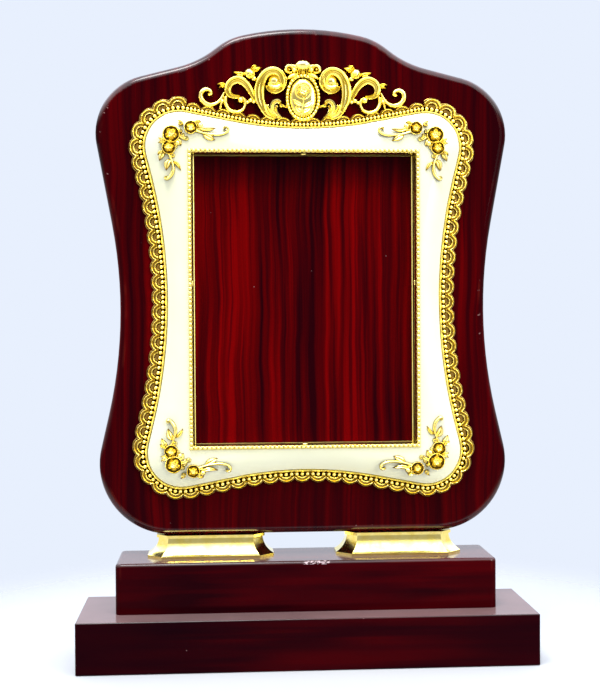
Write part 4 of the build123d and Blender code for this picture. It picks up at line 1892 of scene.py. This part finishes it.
@dataclass
class Studio:
    """The pale floor, the soft lights and the camera."""

    camera_at: tuple[float, float, float] = (-0.0412, -0.6113, 0.1617)
    yaw: float = -3.65
    pitch: float = -1.11
    roll: float = 0.35
    lens: float = 75.0
    floor_r: float = 0.30
    lamps: tuple[Lamp, ...] = (
        Lamp("key_lamp", (-0.22, -0.50, 1.46), 0.6, 0.5, 18.0),
        Lamp("fill_lamp", (0.75, -0.90, 0.55), 0.6, 0.6, 6.8),
    )

    def build(self) -> None:
        """Sets up the whole studio."""
        self.add_floor()
        self.add_sky()
        for lamp in self.lamps:
            lamp.hang((cad_box[0] + cad_box[1]) / 2)
        self.add_camera()
        settings = bpy.context.scene.view_settings
        settings.view_transform = "Standard"
        settings.look = "None"

    def add_floor(self) -> None:
        """A small round pale floor that fades out towards its edge."""
        _, unit = round_turn(96)
        rim = [(self.floor_r * x, self.floor_r * y, -0.0004) for x, y in unit]
        mesh = bpy.data.meshes.new("floor")
        mesh.from_pydata(rim, [], [tuple(range(96))])
        floor = bpy.data.objects.new("floor", mesh)
        bpy.context.scene.collection.objects.link(floor)
        shader = Shader.named("pale_floor")
        place = shader.place()
        tone = shader.mix(shader.noise(place, 8.0, 2.0), (0.56, 0.57, 0.59), (0.60, 0.61, 0.62))
        x, y, _ = shader.axes(place)
        reach = (x * x + y * y) ** 0.5
        solid = reach.between(self.floor_r * 0.98, self.floor_r * 0.50)
        mesh.materials.append(shader.surface(Base_Color=tone, Roughness=0.7, Alpha=solid))

    def add_sky(self) -> None:
        """A pale surround: an even backdrop, a bright ceiling and back, and a dim room in front."""
        world = bpy.data.worlds.new("studio_surround")
        bpy.context.scene.world = world
        shader = Shader(world)
        x, y, z = shader.axes(shader.value("ShaderNodeTexCoord", output="Generated"))
        behind = y.between(0.0, 0.6)
        ceiling = z.between(0.22, 0.70)
        sides = abs(x).between(0.30, 0.85)
        table = z.between(-0.04, -0.30)
        mirrored = (behind * 0.7).most(ceiling * 4.2).most(sides * 0.7).most(table) + 0.50
        spread = (behind * 0.8).most(ceiling * 1.15).most(sides * 0.75) + 0.34
        seen = shader.value("ShaderNodeLightPath", output="Is Camera Ray")
        glossy = shader.value("ShaderNodeLightPath", output="Is Glossy Ray")
        strength = seen + glossy * mirrored + (1 - seen) * (1 - glossy) * spread
        warmth = glossy * (1 - behind) * (1 - ceiling * 0.7)
        tint = shader.mix(warmth, (0.807, 0.871, 0.991), (0.96, 0.92, 0.86))
        background = shader.node("ShaderNodeBackground", None, {0: tint, 1: strength})
        shader.node("ShaderNodeOutputWorld", None, {0: background.outputs[0]})

    def add_camera(self) -> None:
        """The camera, nearly level and a little to the left of the plaque's middle."""
        made = bpy.data.cameras.new("camera")
        made.lens = self.lens
        made.sensor_width = 36.0
        made.sensor_fit = "HORIZONTAL"
        holder = bpy.data.objects.new("camera", made)
        bpy.context.scene.collection.objects.link(holder)
        turn = (
            Matrix.Rotation(math.radians(self.yaw), 4, "Z")
            @ Matrix.Rotation(math.radians(self.pitch), 4, "X")
            @ Matrix.Rotation(math.radians(self.roll), 4, "Y")
            @ Matrix.Rotation(math.radians(90), 4, "X")
        )
        holder.matrix_world = Matrix.Translation(self.camera_at) @ turn
        bpy.context.scene.camera = holder


def main() -> None:
    """Builds every piece in order."""
    logging.basicConfig(level=logging.INFO, format="%(message)s")
    layout = Layout.read()
    front = layout.board_front * MM
    ornament = GoldPlate("ornament_gold", front, deep=0.0006, proud=0.0018).make()
    spray_front = front - layout.frame_depth * MM
    spray_gold = GoldPlate("spray_gold", spray_front, deep=0.0002, proud=0.0012).make()
    # the liner's wall and lip lie below proud, so they get the darker, duller colour as painted shade
    liner_gold = GoldPlate("liner_gold", front, deep=-0.0110, proud=0.0062, matt=1.15).make()
    waisted = WaistedFrame(layout)
    waisted.build(CreamEnamel("cream_enamel").make())
    outline = waisted.outline()
    BeadedLiner(layout).build(liner_gold)
    LaceBorder(layout, outline).build(ornament)
    Crest(layout, outline).build(ornament)
    Cameo(layout).build(ornament)
    for end_name, end in (("top", 1), ("bottom", -1)):
        for side_name, side in (("left", -1), ("right", 1)):
            CornerSpray(layout, f"spray_{end_name}_{side_name}", side, end).build(spray_gold)
    Woodwork(layout).dress()
    Hardware().dress()
    Studio().build()


if __name__ == "__main__":
    main()
